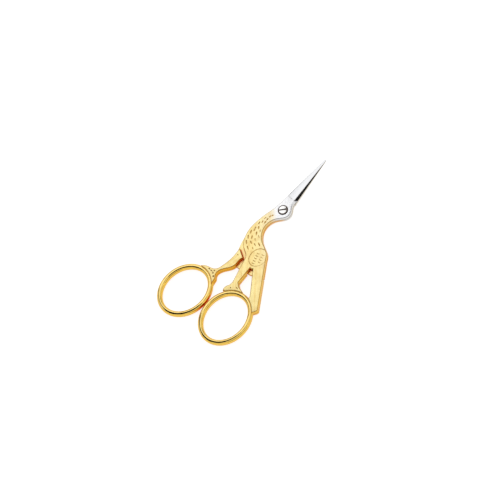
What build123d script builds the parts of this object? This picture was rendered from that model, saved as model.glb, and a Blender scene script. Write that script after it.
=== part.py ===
from build123d import *
from math import cos, hypot, radians, sin
import os

# Stork embroidery scissors, closed and lying on the rear half's outer face.
# Lengths are in millimetres and angles in degrees. The pivot axis is Z through the
# origin, the tips point to +Y, and z = 0 is the rear half's flat outer face.

# Sizes that both halves share
half_thickness = 1.78       # of each ricasso, head, neck and body
running_gap = 0.04          # between the two flat inner faces

# Blades
blade_reach = 28.1          # pivot to tip
ricasso_reach = 6.3         # pivot to where the grinding starts
blade_width = 3.0           # where the grinding starts
tip_width = 0.45
blade_thickness = 1.62      # at the spine, where the grinding starts
tip_thickness = 0.5
edge_land = 0.1             # thickness left on the cutting edge
spine_bevel = 0.3
front_edge_offset = 0.45    # front cutting edge to the right of the pivot
rear_edge_offset = 1.2      # rear cutting edge to the left of the pivot
ricasso_step = 1.32         # from the cutting edge out to the ricasso's side

# Head, neck and body
head_radius = 3.4
body_width = 14.6           # sets how far the back and the breast stand out
body_drop = 30.5            # pivot to the rear body's round lower end
leg_step_gap = 0.4          # between that end and the front legs' thick part
front_leg_length = 7.325    # from the body's lower end down to the finger ring
rear_leg_length = 7.925

# Finger rings
ring_across = 9.7           # half the centre line's width
ring_along = 11.45          # half the centre line's length
ring_tube = 2.25            # of the round wire, in the plan
ring_depth = 2.9            # of the round wire, along the pivot axis
ring_gap = 0.3              # between the two rings when closed
seam_offset = 1.07          # from the pivot left to the line between the rings
front_ring_lean = 3.5
rear_ring_lean = 13.5

# Pivot screw
screw_head_radius = 2.0
screw_head_side = 0.8       # height of the head's cylindrical side
screw_dome = 0.22           # rise of the dome above that
screw_seat_depth = 0.55     # counterbore in the front half
seat_clearance = 0.1
head_clearance = 0.03       # under the head, so that the front half turns
shoulder_radius = 1.3
shoulder_clearance = 0.04
thread_radius = 1.1
thread_clearance = 0.02
thread_end_gap = 0.12       # the screw ends this far inside the rear face
thread_chamfer = 0.25
slot_width = 0.48
slot_depth = 0.6
slot_angle = 43.0

# Outlines. Head points are shares of the head's radius, neck and body points are
# shares of the body's width and drop, and ring points are shares of a ring's half
# width and half length, taken from its centre and leaning with it.
right_head_shares = [(0.58, 1.14), (0.98, 0.37), (1.05, 0.0), (0.99, -0.38), (0.56, -0.94)]
right_neck_shares = [
    (-0.01, -0.172), (-0.097, -0.261), (-0.108, -0.335), (-0.046, -0.429),
    (0.078, -0.501), (0.293, -0.566), (0.452, -0.615), (0.553, -0.692),
]
left_head_shares = [(-0.88, 0.66), (-0.98, 0.08)]
left_neck_shares = [(-0.283, -0.089), (-0.366, -0.218), (-0.424, -0.348), (-0.447, -0.48)]
front_belly_shares = [(-0.402, -0.597), (-0.324, -0.683), (-0.206, -0.741), (-0.021, -0.802), (0.036, -0.847)]
front_crotch_shares = [(0.08, -0.9), (0.387, -0.917), (0.56, -0.85)]
rear_belly_shares = [(-0.425, -0.655), (-0.37, -0.76), (-0.302, -0.87)]
rear_tail_shares = [(-0.2, -1.05)]

front_leg_left_shares = [(0.036, -0.847), (0.062, -0.931), (0.096, -1.0), (0.157, -1.134)]
front_foot_left_shares = [(-0.827, 1.117), (-0.845, 1.012), (-0.93, 0.873), (-0.939, 0.79), (-0.9, 0.68)]
front_foot_right_shares = [(-0.4, 0.8), (-0.1, 1.05), (-0.171, 1.1), (-0.454, 1.163), (-0.606, 1.263)]
front_leg_right_shares = [(0.339, -0.942), (0.3, -0.75)]

bar_outer_shares = [(0.553, -0.692)]
bar_end_shares = [(0.923, 0.933), (0.915, 0.86), (0.835, 0.76), (0.7, 0.6), (0.2, 0.9)]
bar_inner_shares = [(0.228, 1.133)]
bar_root_shares = [(0.455, -0.924), (0.3, -0.8)]

rear_leg_left_shares = [(-0.299, -0.77), (-0.3, -0.92), (-0.339, -1.031), (-0.393, -1.118)]
rear_foot_left_shares = [(0.194, 1.399), (0.092, 1.297), (-0.097, 1.215), (-0.253, 1.146), (-0.4, 1.02)]
rear_foot_right_shares = [(0.615, 0.88), (0.538, 1.044), (0.512, 1.102), (0.412, 1.179), (0.352, 1.278)]
rear_leg_right_shares = [(-0.25, -1.124), (-0.101, -1.03), (-0.073, -0.96), (-0.064, -0.893), (-0.024, -0.854)]

foot_bite_share = 0.25      # of the wire's width, where the flat feet end on the rings

# Heights above the rear face
front_base = half_thickness + running_gap
full_thickness = front_base + half_thickness
ring_level = full_thickness / 2
screw_seat = full_thickness - screw_seat_depth


def half_across(lean):
    """Half the plan width of a leaning ring, wire and all."""
    turn = radians(lean)
    return hypot(ring_across * cos(turn), ring_along * sin(turn)) + ring_tube / 2


ring_head = body_drop + ring_along + ring_tube / 2
front_ring = (ring_gap / 2 - seam_offset + half_across(front_ring_lean), -ring_head - front_leg_length)
rear_ring = (-ring_gap / 2 - seam_offset - half_across(rear_ring_lean), -ring_head - rear_leg_length)


def on_head(shares):
    """Turns shares of the head's radius into points."""
    return [(x * head_radius, y * head_radius) for x, y in shares]


def on_body(shares):
    """Turns shares of the body's width and drop into points."""
    return [(x * body_width, y * body_drop) for x, y in shares]


def at_ring(centre, lean, shares):
    """Turns shares of a ring's half width and half length into points."""
    turn = radians(lean)
    points = []
    for across, along in shares:
        u, v = across * ring_across, along * ring_along
        points.append((centre[0] + u * cos(turn) + v * sin(turn), centre[1] - u * sin(turn) + v * cos(turn)))
    return points


def at_front_ring(shares):
    """Turns shares into points at the front half's ring."""
    return at_ring(front_ring, front_ring_lean, shares)


def at_rear_ring(shares):
    """Turns shares into points at the rear half's ring."""
    return at_ring(rear_ring, rear_ring_lean, shares)


def closed_outline(*stretches):
    """Joins each stretch's end to the next one's start, and the last to the first."""
    for stretch, following in zip(stretches, stretches[1:] + stretches[:1]):
        Line(stretch @ 1, following @ 0)


def inside_ring(centre, lean):
    """Takes away what of a foot's plan lies inside the ring that it stands on."""
    bite = foot_bite_share * ring_tube
    with Locations(centre):
        Ellipse(ring_across + bite, ring_along + bite, rotation=-lean, mode=Mode.SUBTRACT)


def wire_ring(centre, lean):
    """Sweeps the oval wire round one finger ring."""
    with BuildPart() as ring:
        with BuildLine(Plane.XY.offset(ring_level)) as path:
            EllipticalCenterArc(centre, ring_across, ring_along, arc_size=360, rotation=-lean)
        with BuildSketch(Plane(origin=path.line @ 0, x_dir=(0, 0, 1), z_dir=path.line % 0)):
            Ellipse(ring_depth / 2, ring_tube / 2)
        sweep(path=path.line)
    return ring.part


def blade(inner, outward, edge, to_spine):
    """Lofts a blade that is flat inside and slopes outside from its spine to its edge.

    inner is the height of its flat side and outward is +1 or -1. edge is where the
    cutting edge starts, and to_spine is +1 or -1, the spine's side of it.
    """
    tip_edge = -to_spine * tip_width / 2
    stations = [
        (ricasso_reach, edge, blade_width, blade_thickness),
        (blade_reach, tip_edge, tip_width, tip_thickness),
    ]
    with BuildPart() as ground:
        for reach, edge_at, width, thickness in stations:
            bevel = spine_bevel * width / blade_width
            spine = edge_at + to_spine * width
            with BuildSketch(Plane.XZ.offset(-reach)):
                with BuildLine():
                    Polyline(
                        (edge_at, inner),
                        (edge_at, inner + outward * edge_land),
                        (spine - to_spine * bevel, inner + outward * thickness),
                        (spine, inner + outward * (thickness - bevel)),
                        (spine, inner),
                        close=True,
                    )
                make_face()
        loft(ruled=True)
    return ground.part


right_edge = on_head(right_head_shares) + on_body(right_neck_shares)
left_edge = on_head(left_head_shares) + on_body(left_neck_shares)
front_ricasso = (front_edge_offset - blade_width, front_edge_offset + ricasso_step)
rear_ricasso = (-rear_edge_offset - ricasso_step, blade_width - rear_edge_offset)

with BuildSketch() as front_body_plan:
    with BuildLine():
        closed_outline(
            Spline((front_ricasso[0], ricasso_reach), *left_edge, *on_body(front_belly_shares)),
            Polyline(*on_body(front_crotch_shares)),
            Spline(*reversed([(front_ricasso[1], ricasso_reach), *right_edge])),
        )
    make_face()

with BuildSketch() as front_legs_plan:
    with BuildLine():
        closed_outline(
            Spline(*on_body(front_leg_left_shares), *at_front_ring(front_foot_left_shares)),
            Polyline(*at_front_ring(front_foot_right_shares), *on_body(front_leg_right_shares)),
        )
    make_face()
    with BuildLine():
        Polyline(
            *on_body(bar_outer_shares), *at_front_ring(bar_end_shares),
            *at_front_ring(bar_inner_shares), *on_body(bar_root_shares), close=True,
        )
    make_face()
    inside_ring(front_ring, front_ring_lean)

with BuildSketch() as rear_body_plan:
    with BuildLine():
        closed_outline(
            Spline((rear_ricasso[0], ricasso_reach), *left_edge, *on_body(rear_belly_shares)),
            Polyline(*on_body(rear_tail_shares), *at_front_ring(bar_end_shares[:1])),
            Spline(*reversed([(rear_ricasso[1], ricasso_reach), *right_edge])),
        )
    make_face()
    Circle(body_drop, mode=Mode.INTERSECT)

with BuildSketch() as rear_leg_plan:
    with BuildLine():
        closed_outline(
            Spline(*on_body(rear_leg_left_shares), *at_rear_ring(rear_foot_left_shares)),
            Spline(*at_rear_ring(rear_foot_right_shares), *on_body(rear_leg_right_shares)),
        )
    make_face()
    inside_ring(rear_ring, rear_ring_lean)

front_blade = blade(front_base, 1, front_edge_offset, -1)
rear_blade = blade(half_thickness, -1, -rear_edge_offset, 1)
front_wire = wire_ring(front_ring, front_ring_lean)
rear_wire = wire_ring(rear_ring, rear_ring_lean)

with BuildPart() as front_half:
    with BuildSketch(Plane.XY.offset(front_base)):
        add(front_body_plan.sketch)
        add(front_legs_plan.sketch)
    extrude(amount=half_thickness)
    # Past the rear body's round end the legs are as thick as both halves
    with BuildSketch():
        add(front_legs_plan.sketch)
        Circle(body_drop + leg_step_gap, mode=Mode.SUBTRACT)
    extrude(amount=front_base)
    add([front_blade, front_wire])
    with Locations((0, 0, full_thickness)):
        CounterBoreHole(
            shoulder_radius + shoulder_clearance, screw_head_radius + seat_clearance, screw_seat_depth
        )

with BuildPart() as rear_half:
    with BuildSketch():
        add(rear_body_plan.sketch)
    extrude(amount=half_thickness)
    with BuildSketch():
        add(rear_leg_plan.sketch)
    extrude(amount=full_thickness)
    add([rear_blade, rear_wire])
    with Locations((0, 0, half_thickness)):
        Hole(thread_radius + thread_clearance)

with BuildPart() as pivot_screw:
    head_base = screw_seat + head_clearance
    head_rim = head_base + screw_head_side
    with BuildSketch(Plane.XZ):
        with BuildLine():
            side = Polyline(
                (0, thread_end_gap),
                (thread_radius - thread_chamfer, thread_end_gap),
                (thread_radius, thread_end_gap + thread_chamfer),
                (thread_radius, half_thickness),
                (shoulder_radius, half_thickness),
                (shoulder_radius, head_base),
                (screw_head_radius, head_base),
                (screw_head_radius, head_rim),
            )
            dome = TangentArc((0, head_rim + screw_dome), side @ 1, tangent=(1, 0))
            Line(dome @ 0, side @ 0)
        make_face()
    revolve(axis=Axis.Z)
    with BuildSketch(Plane.XY.offset(head_rim + screw_dome)):
        Rectangle(screw_head_radius * 3, slot_width, rotation=slot_angle)
    extrude(amount=-slot_depth, mode=Mode.SUBTRACT)

front_half.part.label = "front_half"
rear_half.part.label = "rear_half"
pivot_screw.part.label = "pivot_screw"

os.makedirs("parts", exist_ok=True)
export_step(front_half.part, "parts/front_half.step")
export_step(rear_half.part, "parts/rear_half.step")
export_step(pivot_screw.part, "parts/pivot_screw.step")
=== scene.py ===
"""Stork embroidery scissors: the two forgings, their engraving, the pivot screw and a plain studio.

A shape is worked out in millimetres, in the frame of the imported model, and becomes a mesh in metres.
Each forging is one body from its blade to its finger ring. It is described by distances: a field is
negative inside the metal and positive outside, and the mesh lies where it is zero.
"""

import logging
import math
from dataclasses import dataclass, field
from enum import Enum
from typing import Sequence

import bpy
import numpy as np
from mathutils import Matrix, Vector

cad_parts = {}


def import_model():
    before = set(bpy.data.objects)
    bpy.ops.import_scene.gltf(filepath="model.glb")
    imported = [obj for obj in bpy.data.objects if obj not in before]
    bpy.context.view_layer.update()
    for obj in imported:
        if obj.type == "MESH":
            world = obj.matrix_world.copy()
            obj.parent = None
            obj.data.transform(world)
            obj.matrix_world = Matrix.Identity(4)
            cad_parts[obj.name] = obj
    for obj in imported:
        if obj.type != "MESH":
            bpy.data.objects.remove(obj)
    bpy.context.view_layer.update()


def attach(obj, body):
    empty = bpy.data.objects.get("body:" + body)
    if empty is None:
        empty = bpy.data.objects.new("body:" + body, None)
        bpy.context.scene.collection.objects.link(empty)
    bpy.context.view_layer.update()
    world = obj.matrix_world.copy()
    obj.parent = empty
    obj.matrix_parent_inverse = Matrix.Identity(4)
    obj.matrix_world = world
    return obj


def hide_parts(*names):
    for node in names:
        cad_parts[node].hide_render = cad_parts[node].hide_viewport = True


MM = 0.001
TINY = 1e-9
NEAR_SAMPLES = 8
MATT_ROUGHNESS = 0.9

Place = tuple[float, float]
Point = tuple[float, float, float]
Colour = tuple[float, float, float, float]

log = logging.getLogger("stork_scissors")


class Run(Enum):
    """How a stretch of an outline goes through its points."""

    SMOOTH = "smooth"
    STRAIGHT = "straight"


class Face(Enum):
    """The outer face that an engraving is cut into, by the way that it looks."""

    FRONT = 1
    REAR = -1


class Tree(Enum):
    """What a node group works on."""

    GEOMETRY = "GeometryNodeTree"
    SHADER = "ShaderNodeTree"


class Socket(Enum):
    """What goes through an input or output of a node group."""

    NUMBER = "NodeSocketFloat"
    COUNT = "NodeSocketInt"
    VECTOR = "NodeSocketVector"
    GEOMETRY = "NodeSocketGeometry"
    MATERIAL = "NodeSocketMaterial"


# Distances and outlines


def curve_through(points: np.ndarray, spacing: float) -> np.ndarray:
    """Samples a cubic curve that bends freely through every point.

    Args:
        points: the points that the curve goes through, one a row.
        spacing: the length between two samples.

    Returns:
        The samples, one a row, first and last point included.
    """
    chord = np.hypot(*np.diff(points, axis=0).T)
    knots = np.concatenate(([0.0], np.cumsum(chord)))
    count = len(points)
    system = np.eye(count)
    pull = np.zeros((count, 2))
    for i in range(1, count - 1):
        before, after = chord[i - 1], chord[i]
        system[i, i - 1 : i + 2] = before, 2 * (before + after), after
        pull[i] = 6 * ((points[i + 1] - points[i]) / after - (points[i] - points[i - 1]) / before)
    bend = np.linalg.solve(system, pull)
    at = np.linspace(0, knots[-1], math.ceil(knots[-1] / spacing) + 1)
    i = np.clip(np.searchsorted(knots, at, side="right") - 1, 0, count - 2)
    span = chord[i][:, None]
    a = (knots[i + 1] - at)[:, None] / span
    b = 1 - a
    swing = (a**3 - a) * bend[i] + (b**3 - b) * bend[i + 1]
    return a * points[i] + b * points[i + 1] + swing * span**2 / 6


def line_through(points: np.ndarray, spacing: float) -> np.ndarray:
    """Samples the straight runs between points.

    Args:
        points: the corners, one a row.
        spacing: the length between two samples.

    Returns:
        The samples, one a row, every corner included.
    """
    runs = [points[:1]]
    for start, end in zip(points, points[1:]):
        count = max(1, math.ceil(math.dist(start, end) / spacing))
        runs.append(start + (end - start) * np.arange(1, count + 1)[:, None] / count)
    return np.vstack(runs)


def closed_outline(stretches: Sequence[tuple[Run, Sequence[Place]]], spacing: float) -> np.ndarray:
    """Joins stretches into one closed outline, each end to the next start by a straight line.

    Args:
        stretches: how each stretch runs, and its points.
        spacing: the length between two samples.

    Returns:
        The outline's samples, one a row.
    """
    runs = []
    for (run, points), (_, following) in zip(stretches, [*stretches[1:], stretches[0]]):
        places = np.array(points)
        runs.append((curve_through if run is Run.SMOOTH else line_through)(places, spacing))
        link = line_through(np.array([points[-1], following[0]]), spacing)
        runs.append(link[1:-1])
    return np.vstack(runs)


def outline_distance(x: np.ndarray, y: np.ndarray, outline: np.ndarray) -> np.ndarray:
    """Measures how far places in the plan lie from a closed outline.

    Args:
        x: the places' x.
        y: the places' y.
        outline: the outline's samples, one a row.

    Returns:
        The distances, negative inside the outline.
    """
    batch = 2048
    start = outline.astype(np.float32)
    end = np.roll(start, -1, axis=0)
    run_x, run_y = (end - start).T
    run_square = run_x**2 + run_y**2
    slant = run_x / np.where(run_y == 0, 1, run_y)
    result = np.empty(len(x), np.float32)
    for first in range(0, len(x), batch):
        part = slice(first, first + batch)
        from_x = x[part, None].astype(np.float32) - start[:, 0]
        from_y = y[part, None].astype(np.float32) - start[:, 1]
        share = np.clip((from_x * run_x + from_y * run_y) / run_square, 0, 1)
        gap = ((from_x - share * run_x) ** 2 + (from_y - share * run_y) ** 2).min(axis=1)
        level = (from_y < 0) != (from_y < run_y)
        crossings = (level & (from_x < slant * from_y)).sum(axis=1)
        result[part] = np.sqrt(gap) * np.where(crossings % 2, -1, 1)
    return result


def soft_union(a: np.ndarray, b: np.ndarray, reach: float) -> np.ndarray:
    """Joins two fields with a fillet that starts where they differ by less than reach."""
    overlap = np.maximum(reach - np.abs(a - b), 0) / reach
    return np.minimum(a, b) - overlap**2 * reach / 4


def soft_cut(a: np.ndarray, b: np.ndarray, reach: float) -> np.ndarray:
    """Keeps what is inside both fields, with a rounded corner that starts within reach."""
    return -soft_union(-a, -b, reach)


def plate(
    plan: np.ndarray, z: np.ndarray, low: float, high: float, low_rim: float, high_rim: float
) -> np.ndarray:
    """Gives the field of a flat plate with rounded rims.

    Args:
        plan: the distance from the plate's outline.
        z: the height.
        low: the height of the plate's lower face.
        high: the height of its upper face.
        low_rim: the radius of the lower face's rim.
        high_rim: the radius of the upper face's rim.

    Returns:
        The field.
    """
    upper = z > (low + high) / 2
    rim = np.where(upper, high_rim, low_rim)
    out = plan + rim
    up = np.where(upper, z - high, low - z) + rim
    return np.minimum(np.maximum(out, up), 0) + np.hypot(np.maximum(out, 0), np.maximum(up, 0)) - rim


@dataclass(frozen=True)
class Sheet:
    """A flat grid over the plan, on which distances are kept and read back."""

    low: Place
    high: Place
    spacing: float = 0.1
    stride: int = 8
    near: float = 1.1

    def counts(self) -> tuple[int, int]:
        """Returns the number of places along x and along y."""
        spans = (high - low for low, high in zip(self.low, self.high))
        return tuple(math.ceil(span / (self.spacing * self.stride)) * self.stride + 1 for span in spans)

    def axes(self, stride: int = 1) -> tuple[np.ndarray, np.ndarray]:
        """Returns the x and the y of every stride-th column and row."""
        sides = zip(self.low, self.counts())
        return tuple(low + np.arange(0, count, stride) * self.spacing for low, count in sides)

    def read(self, values: np.ndarray, x: np.ndarray, y: np.ndarray, stride: int = 1) -> np.ndarray:
        """Reads values between the grid's places.

        Args:
            values: one value for each place.
            x: where to read, along x.
            y: where to read, along y.
            stride: how many columns and rows of the grid one of the values' steps spans.

        Returns:
            The values there.
        """
        step = self.spacing * stride
        u, v = (x - self.low[0]) / step, (y - self.low[1]) / step
        i = np.clip(u.astype(int), 0, values.shape[0] - 2)
        j = np.clip(v.astype(int), 0, values.shape[1] - 2)
        u, v = u - i, v - j
        near = values[i, j] * (1 - v) + values[i, j + 1] * v
        far = values[i + 1, j] * (1 - v) + values[i + 1, j + 1] * v
        return near * (1 - u) + far * u

    def distances(self, outline: np.ndarray) -> np.ndarray:
        """Measures the grid's places from an outline, exactly where they are near it.

        Args:
            outline: the outline's samples, one a row.

        Returns:
            A distance for each place, negative inside.
        """
        rough_x, rough_y = np.meshgrid(*self.axes(self.stride), indexing="ij")
        rough = outline_distance(rough_x.ravel(), rough_y.ravel(), outline).reshape(rough_x.shape)
        x, y = np.meshgrid(*self.axes(), indexing="ij")
        values = self.read(rough, x, y, self.stride)
        close = np.abs(values) < self.near
        values[close] = outline_distance(x[close], y[close], outline)
        inner = values[1:-1, 1:-1] * 4
        for shift_x, shift_y in ((-1, 0), (1, 0), (0, -1), (0, 1)):
            inner = inner + np.roll(values, (shift_x, shift_y), (0, 1))[1:-1, 1:-1]
        values[1:-1, 1:-1] = inner / 8
        return values


# The stork


@dataclass(frozen=True)
class Stork:
    """Sizes that both halves share, as the frame was packed with them."""

    head_radius: float = 3.4
    body_width: float = 14.6
    body_drop: float = 30.5
    half_thickness: float = 1.78
    running_gap: float = 0.04
    ricasso_step: float = 1.32
    leg_step_gap: float = 0.4
    ring_gap: float = 0.3
    seam_offset: float = 1.07
    rim: float = 0.42
    seam_rim: float = 0.06
    fillet: float = 0.3
    sampling: float = 0.12
    right_head: tuple[Place, ...] = ((0.58, 1.14), (0.98, 0.37), (1.05, 0.0), (0.99, -0.38), (0.56, -0.94))
    right_neck: tuple[Place, ...] = (
        (-0.01, -0.172), (-0.097, -0.261), (-0.108, -0.335), (-0.046, -0.429),
        (0.078, -0.501), (0.293, -0.566), (0.452, -0.615), (0.553, -0.692),
    )
    left_head: tuple[Place, ...] = ((-0.88, 0.66), (-0.98, 0.08))
    left_neck: tuple[Place, ...] = ((-0.283, -0.089), (-0.366, -0.218), (-0.424, -0.348), (-0.447, -0.48))

    @property
    def front_base(self) -> float:
        """Height of the front half's flat inner face."""
        return self.half_thickness + self.running_gap

    @property
    def top(self) -> float:
        """Height of the front half's outer face."""
        return self.front_base + self.half_thickness

    def on_head(self, shares: Sequence[Place]) -> list[Place]:
        """Turns shares of the head's radius into places."""
        return [(x * self.head_radius, y * self.head_radius) for x, y in shares]

    def on_body(self, shares: Sequence[Place]) -> list[Place]:
        """Turns shares of the body's width and drop into places."""
        return [(x * self.body_width, y * self.body_drop) for x, y in shares]

    def right_edge(self) -> list[Place]:
        """Returns the places along the beak side, from the ricasso down to the breast."""
        return self.on_head(self.right_head) + self.on_body(self.right_neck)

    def left_edge(self) -> list[Place]:
        """Returns the places along the back, from the ricasso down to the body."""
        return self.on_head(self.left_head) + self.on_body(self.left_neck)


@dataclass(frozen=True)
class FingerRing:
    """An oval ring of flattened round wire, standing on its edge in the plan."""

    centre: Place
    lean: float
    level: float
    across: float = 9.7
    along: float = 11.45
    tube: float = 2.25
    depth: float = 2.9
    squareness: float = 2.35
    bite: float = 0.5625
    least_slope: float = 0.3

    @classmethod
    def hung(cls, stork: Stork, side: int, lean: float, leg_length: float) -> "FingerRing":
        """Hangs a ring below the stork, beside the line between the two rings.

        Args:
            stork: the sizes that both halves share.
            side: +1 to the right of that line, or -1 to its left.
            lean: the ring's turn from upright, in degrees.
            leg_length: from the body's lower end down to the ring.

        Returns:
            The ring.
        """
        turn = math.radians(lean)
        half = math.hypot(cls.across * math.cos(turn), cls.along * math.sin(turn)) + cls.tube / 2
        x = side * (stork.ring_gap / 2 + half) - stork.seam_offset
        y = -stork.body_drop - cls.along - cls.tube / 2 - leg_length
        return cls((x, y), lean, stork.top / 2)

    @classmethod
    def right(cls, stork: Stork) -> "FingerRing":
        """Hangs the right-hand ring, which belongs to the front half."""
        return cls.hung(stork, side=1, lean=3.5, leg_length=7.325)

    @classmethod
    def left(cls, stork: Stork) -> "FingerRing":
        """Hangs the left-hand ring, which belongs to the rear half."""
        return cls.hung(stork, side=-1, lean=13.5, leg_length=7.925)

    def oval(self, grow: float, spacing: float) -> np.ndarray:
        """Samples the ring's oval, grown outwards.

        Args:
            grow: how far outside the wire's centre line.
            spacing: the length between two samples.

        Returns:
            The samples, one a row.
        """
        count = math.ceil(2 * math.pi * self.along / spacing)
        turn = np.arange(count) * 2 * math.pi / count
        shares = np.stack([np.cos(turn), np.sin(turn)], axis=1)
        return self.places(shares, grow)

    def places(self, shares: np.ndarray, grow: float = 0.0) -> np.ndarray:
        """Turns shares of the ring's half width and half length into places.

        Args:
            shares: across and along, one pair a row.
            grow: what is added to the half width and the half length.

        Returns:
            The places, one a row.
        """
        lean = math.radians(self.lean)
        across, along = (np.asarray(shares) * (self.across + grow, self.along + grow)).T
        x = self.centre[0] + across * math.cos(lean) + along * math.sin(lean)
        y = self.centre[1] - across * math.sin(lean) + along * math.cos(lean)
        return np.stack([x, y], axis=1)

    def near(self, shares: Sequence[Place]) -> list[Place]:
        """Turns shares of the ring's half width and half length into a list of places."""
        return [tuple(place) for place in self.places(np.array(shares))]

    def wire(self, line: np.ndarray, z: np.ndarray) -> np.ndarray:
        """Gives the field of the wire.

        Args:
            line: the distance from the wire's centre line, in the plan.
            z: the height.

        Returns:
            The field.
        """
        power = self.squareness
        side, rise = self.tube / 2, self.depth / 2
        u = np.abs(line) / side
        v = np.abs(z - self.level) / rise
        size = np.maximum(u**power + v**power, TINY) ** (1 / power)
        slope = size ** (1 - power) * np.hypot(u ** (power - 1) / side, v ** (power - 1) / rise)
        return (size - 1) / np.maximum(slope, self.least_slope)


@dataclass(frozen=True)
class Blade:
    """A blade whose outside slopes from spine to edge, and whose inside is flat only along the edge."""

    inner: float
    outward: int
    edge: float
    to_spine: int
    reach: float = 28.1
    start: float = 6.3
    width: float = 3.0
    tip_width: float = 0.45
    thickness: float = 1.62
    tip_thickness: float = 0.5
    edge_land: float = 0.1
    spine_bevel: float = 0.3
    spine_drop: float = 1.1
    root: float = 1.3
    step_radius: float = 0.03
    step_sink: float = 0.04
    relief_start: float = 0.3
    relief_degrees: float = 8.0
    tip_taper: float = 0.35
    hollow_share: float = 0.25
    stations: int = 30

    def share(self, y: float) -> float:
        """Returns how far along the blade y lies, from 0 where the grinding starts to 1."""
        return (y - self.start) / (self.reach - self.start)

    def section(self, y: float) -> list[Place]:
        """Gives the blade's section.

        Args:
            y: where along the blade.

        Returns:
            The section's corners, from the inner side of the edge round to the spine.
        """
        share = self.share(y)
        width = self.width + (self.tip_width - self.width) * share
        thickness = self.thickness + (self.tip_thickness - self.thickness) * share
        edge = self.edge + (-self.to_spine * self.tip_width / 2 - self.edge) * share
        bevel = self.spine_bevel * width / self.width
        relief = (1 - self.relief_start) * width * math.tan(math.radians(self.relief_degrees))
        relief = min(relief, thickness / 3)
        corners = [
            (0.0, 0.0),
            (0.0, self.edge_land),
            (width - bevel, thickness),
            (width - bevel / 4, thickness - bevel / 3),
            (width, thickness - bevel * self.spine_drop),
            (width, relief),
            (width * self.relief_start, 0.0),
        ]
        return [(edge + self.to_spine * u, self.inner + self.outward * w) for u, w in corners]

    def outer_slope(self, x: np.ndarray, z: np.ndarray) -> np.ndarray:
        """Measures how far places stand out of the blade's sloping side where the grinding starts.

        Args:
            x: the places' x.
            z: the places' height.

        Returns:
            The distances, negative inside the slope.
        """
        rise = self.thickness - self.edge_land
        run = self.width - self.spine_bevel
        u = (x - self.edge) * self.to_spine
        height = (z - self.inner) * self.outward - self.edge_land
        return (height * run - u * rise) / math.hypot(rise, run)

    def mesh(self, name: str) -> bpy.types.Mesh:
        """Lofts the blade.

        Args:
            name: the mesh's name.

        Returns:
            A closed mesh in millimetres, which runs back into the ricasso.
        """
        taper = (self.reach - self.start) / self.stations / 2
        along = list(np.linspace(self.start - self.root, self.reach - taper, self.stations))
        rings = [[(x, y, z) for x, z in self.section(y)] for y in along]
        last = self.section(self.reach)
        middle = np.mean(last, axis=0)
        rings.append([(*(middle + (np.array(p) - middle) * self.tip_taper),) for p in last])
        rings[-1] = [(x, self.reach, z) for x, z in rings[-1]]
        corners = len(last)
        faces = []
        for i in range(len(rings) - 1):
            for j in range(corners):
                k = (j + 1) % corners
                faces.append((i * corners + j, i * corners + k, (i + 1) * corners + k, (i + 1) * corners + j))
        faces.append(tuple(reversed(range(corners))))
        faces.append(tuple(range((len(rings) - 1) * corners, len(rings) * corners)))
        mesh = bpy.data.meshes.new(name)
        mesh.from_pydata([corner for ring in rings for corner in ring], [], [face[::-1] for face in faces])
        return mesh


@dataclass(frozen=True)
class Bore:
    """A round hole along the pivot axis, with a bevelled mouth and, where one is given, a wider seat."""

    radius: float
    mouth: float
    seat_radius: float = 0.0
    seat: float = 0.0
    bevel: float = 0.12
    overrun: float = 0.5

    def profile(self) -> list[Place]:
        """Draws the hole's side from the axis below it to the axis above it.

        Returns:
            Radius and height of each corner.
        """
        wide = self.seat_radius or self.radius
        top, flare = self.mouth + self.overrun, self.bevel + self.overrun
        seat = [(self.radius, self.seat), (wide, self.seat)] if self.seat_radius else []
        lip = [(wide, self.mouth - self.bevel), (wide + flare, top), (0.0, top)]
        return [(0.0, -self.overrun), (self.radius, -self.overrun), *seat, *lip]


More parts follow.
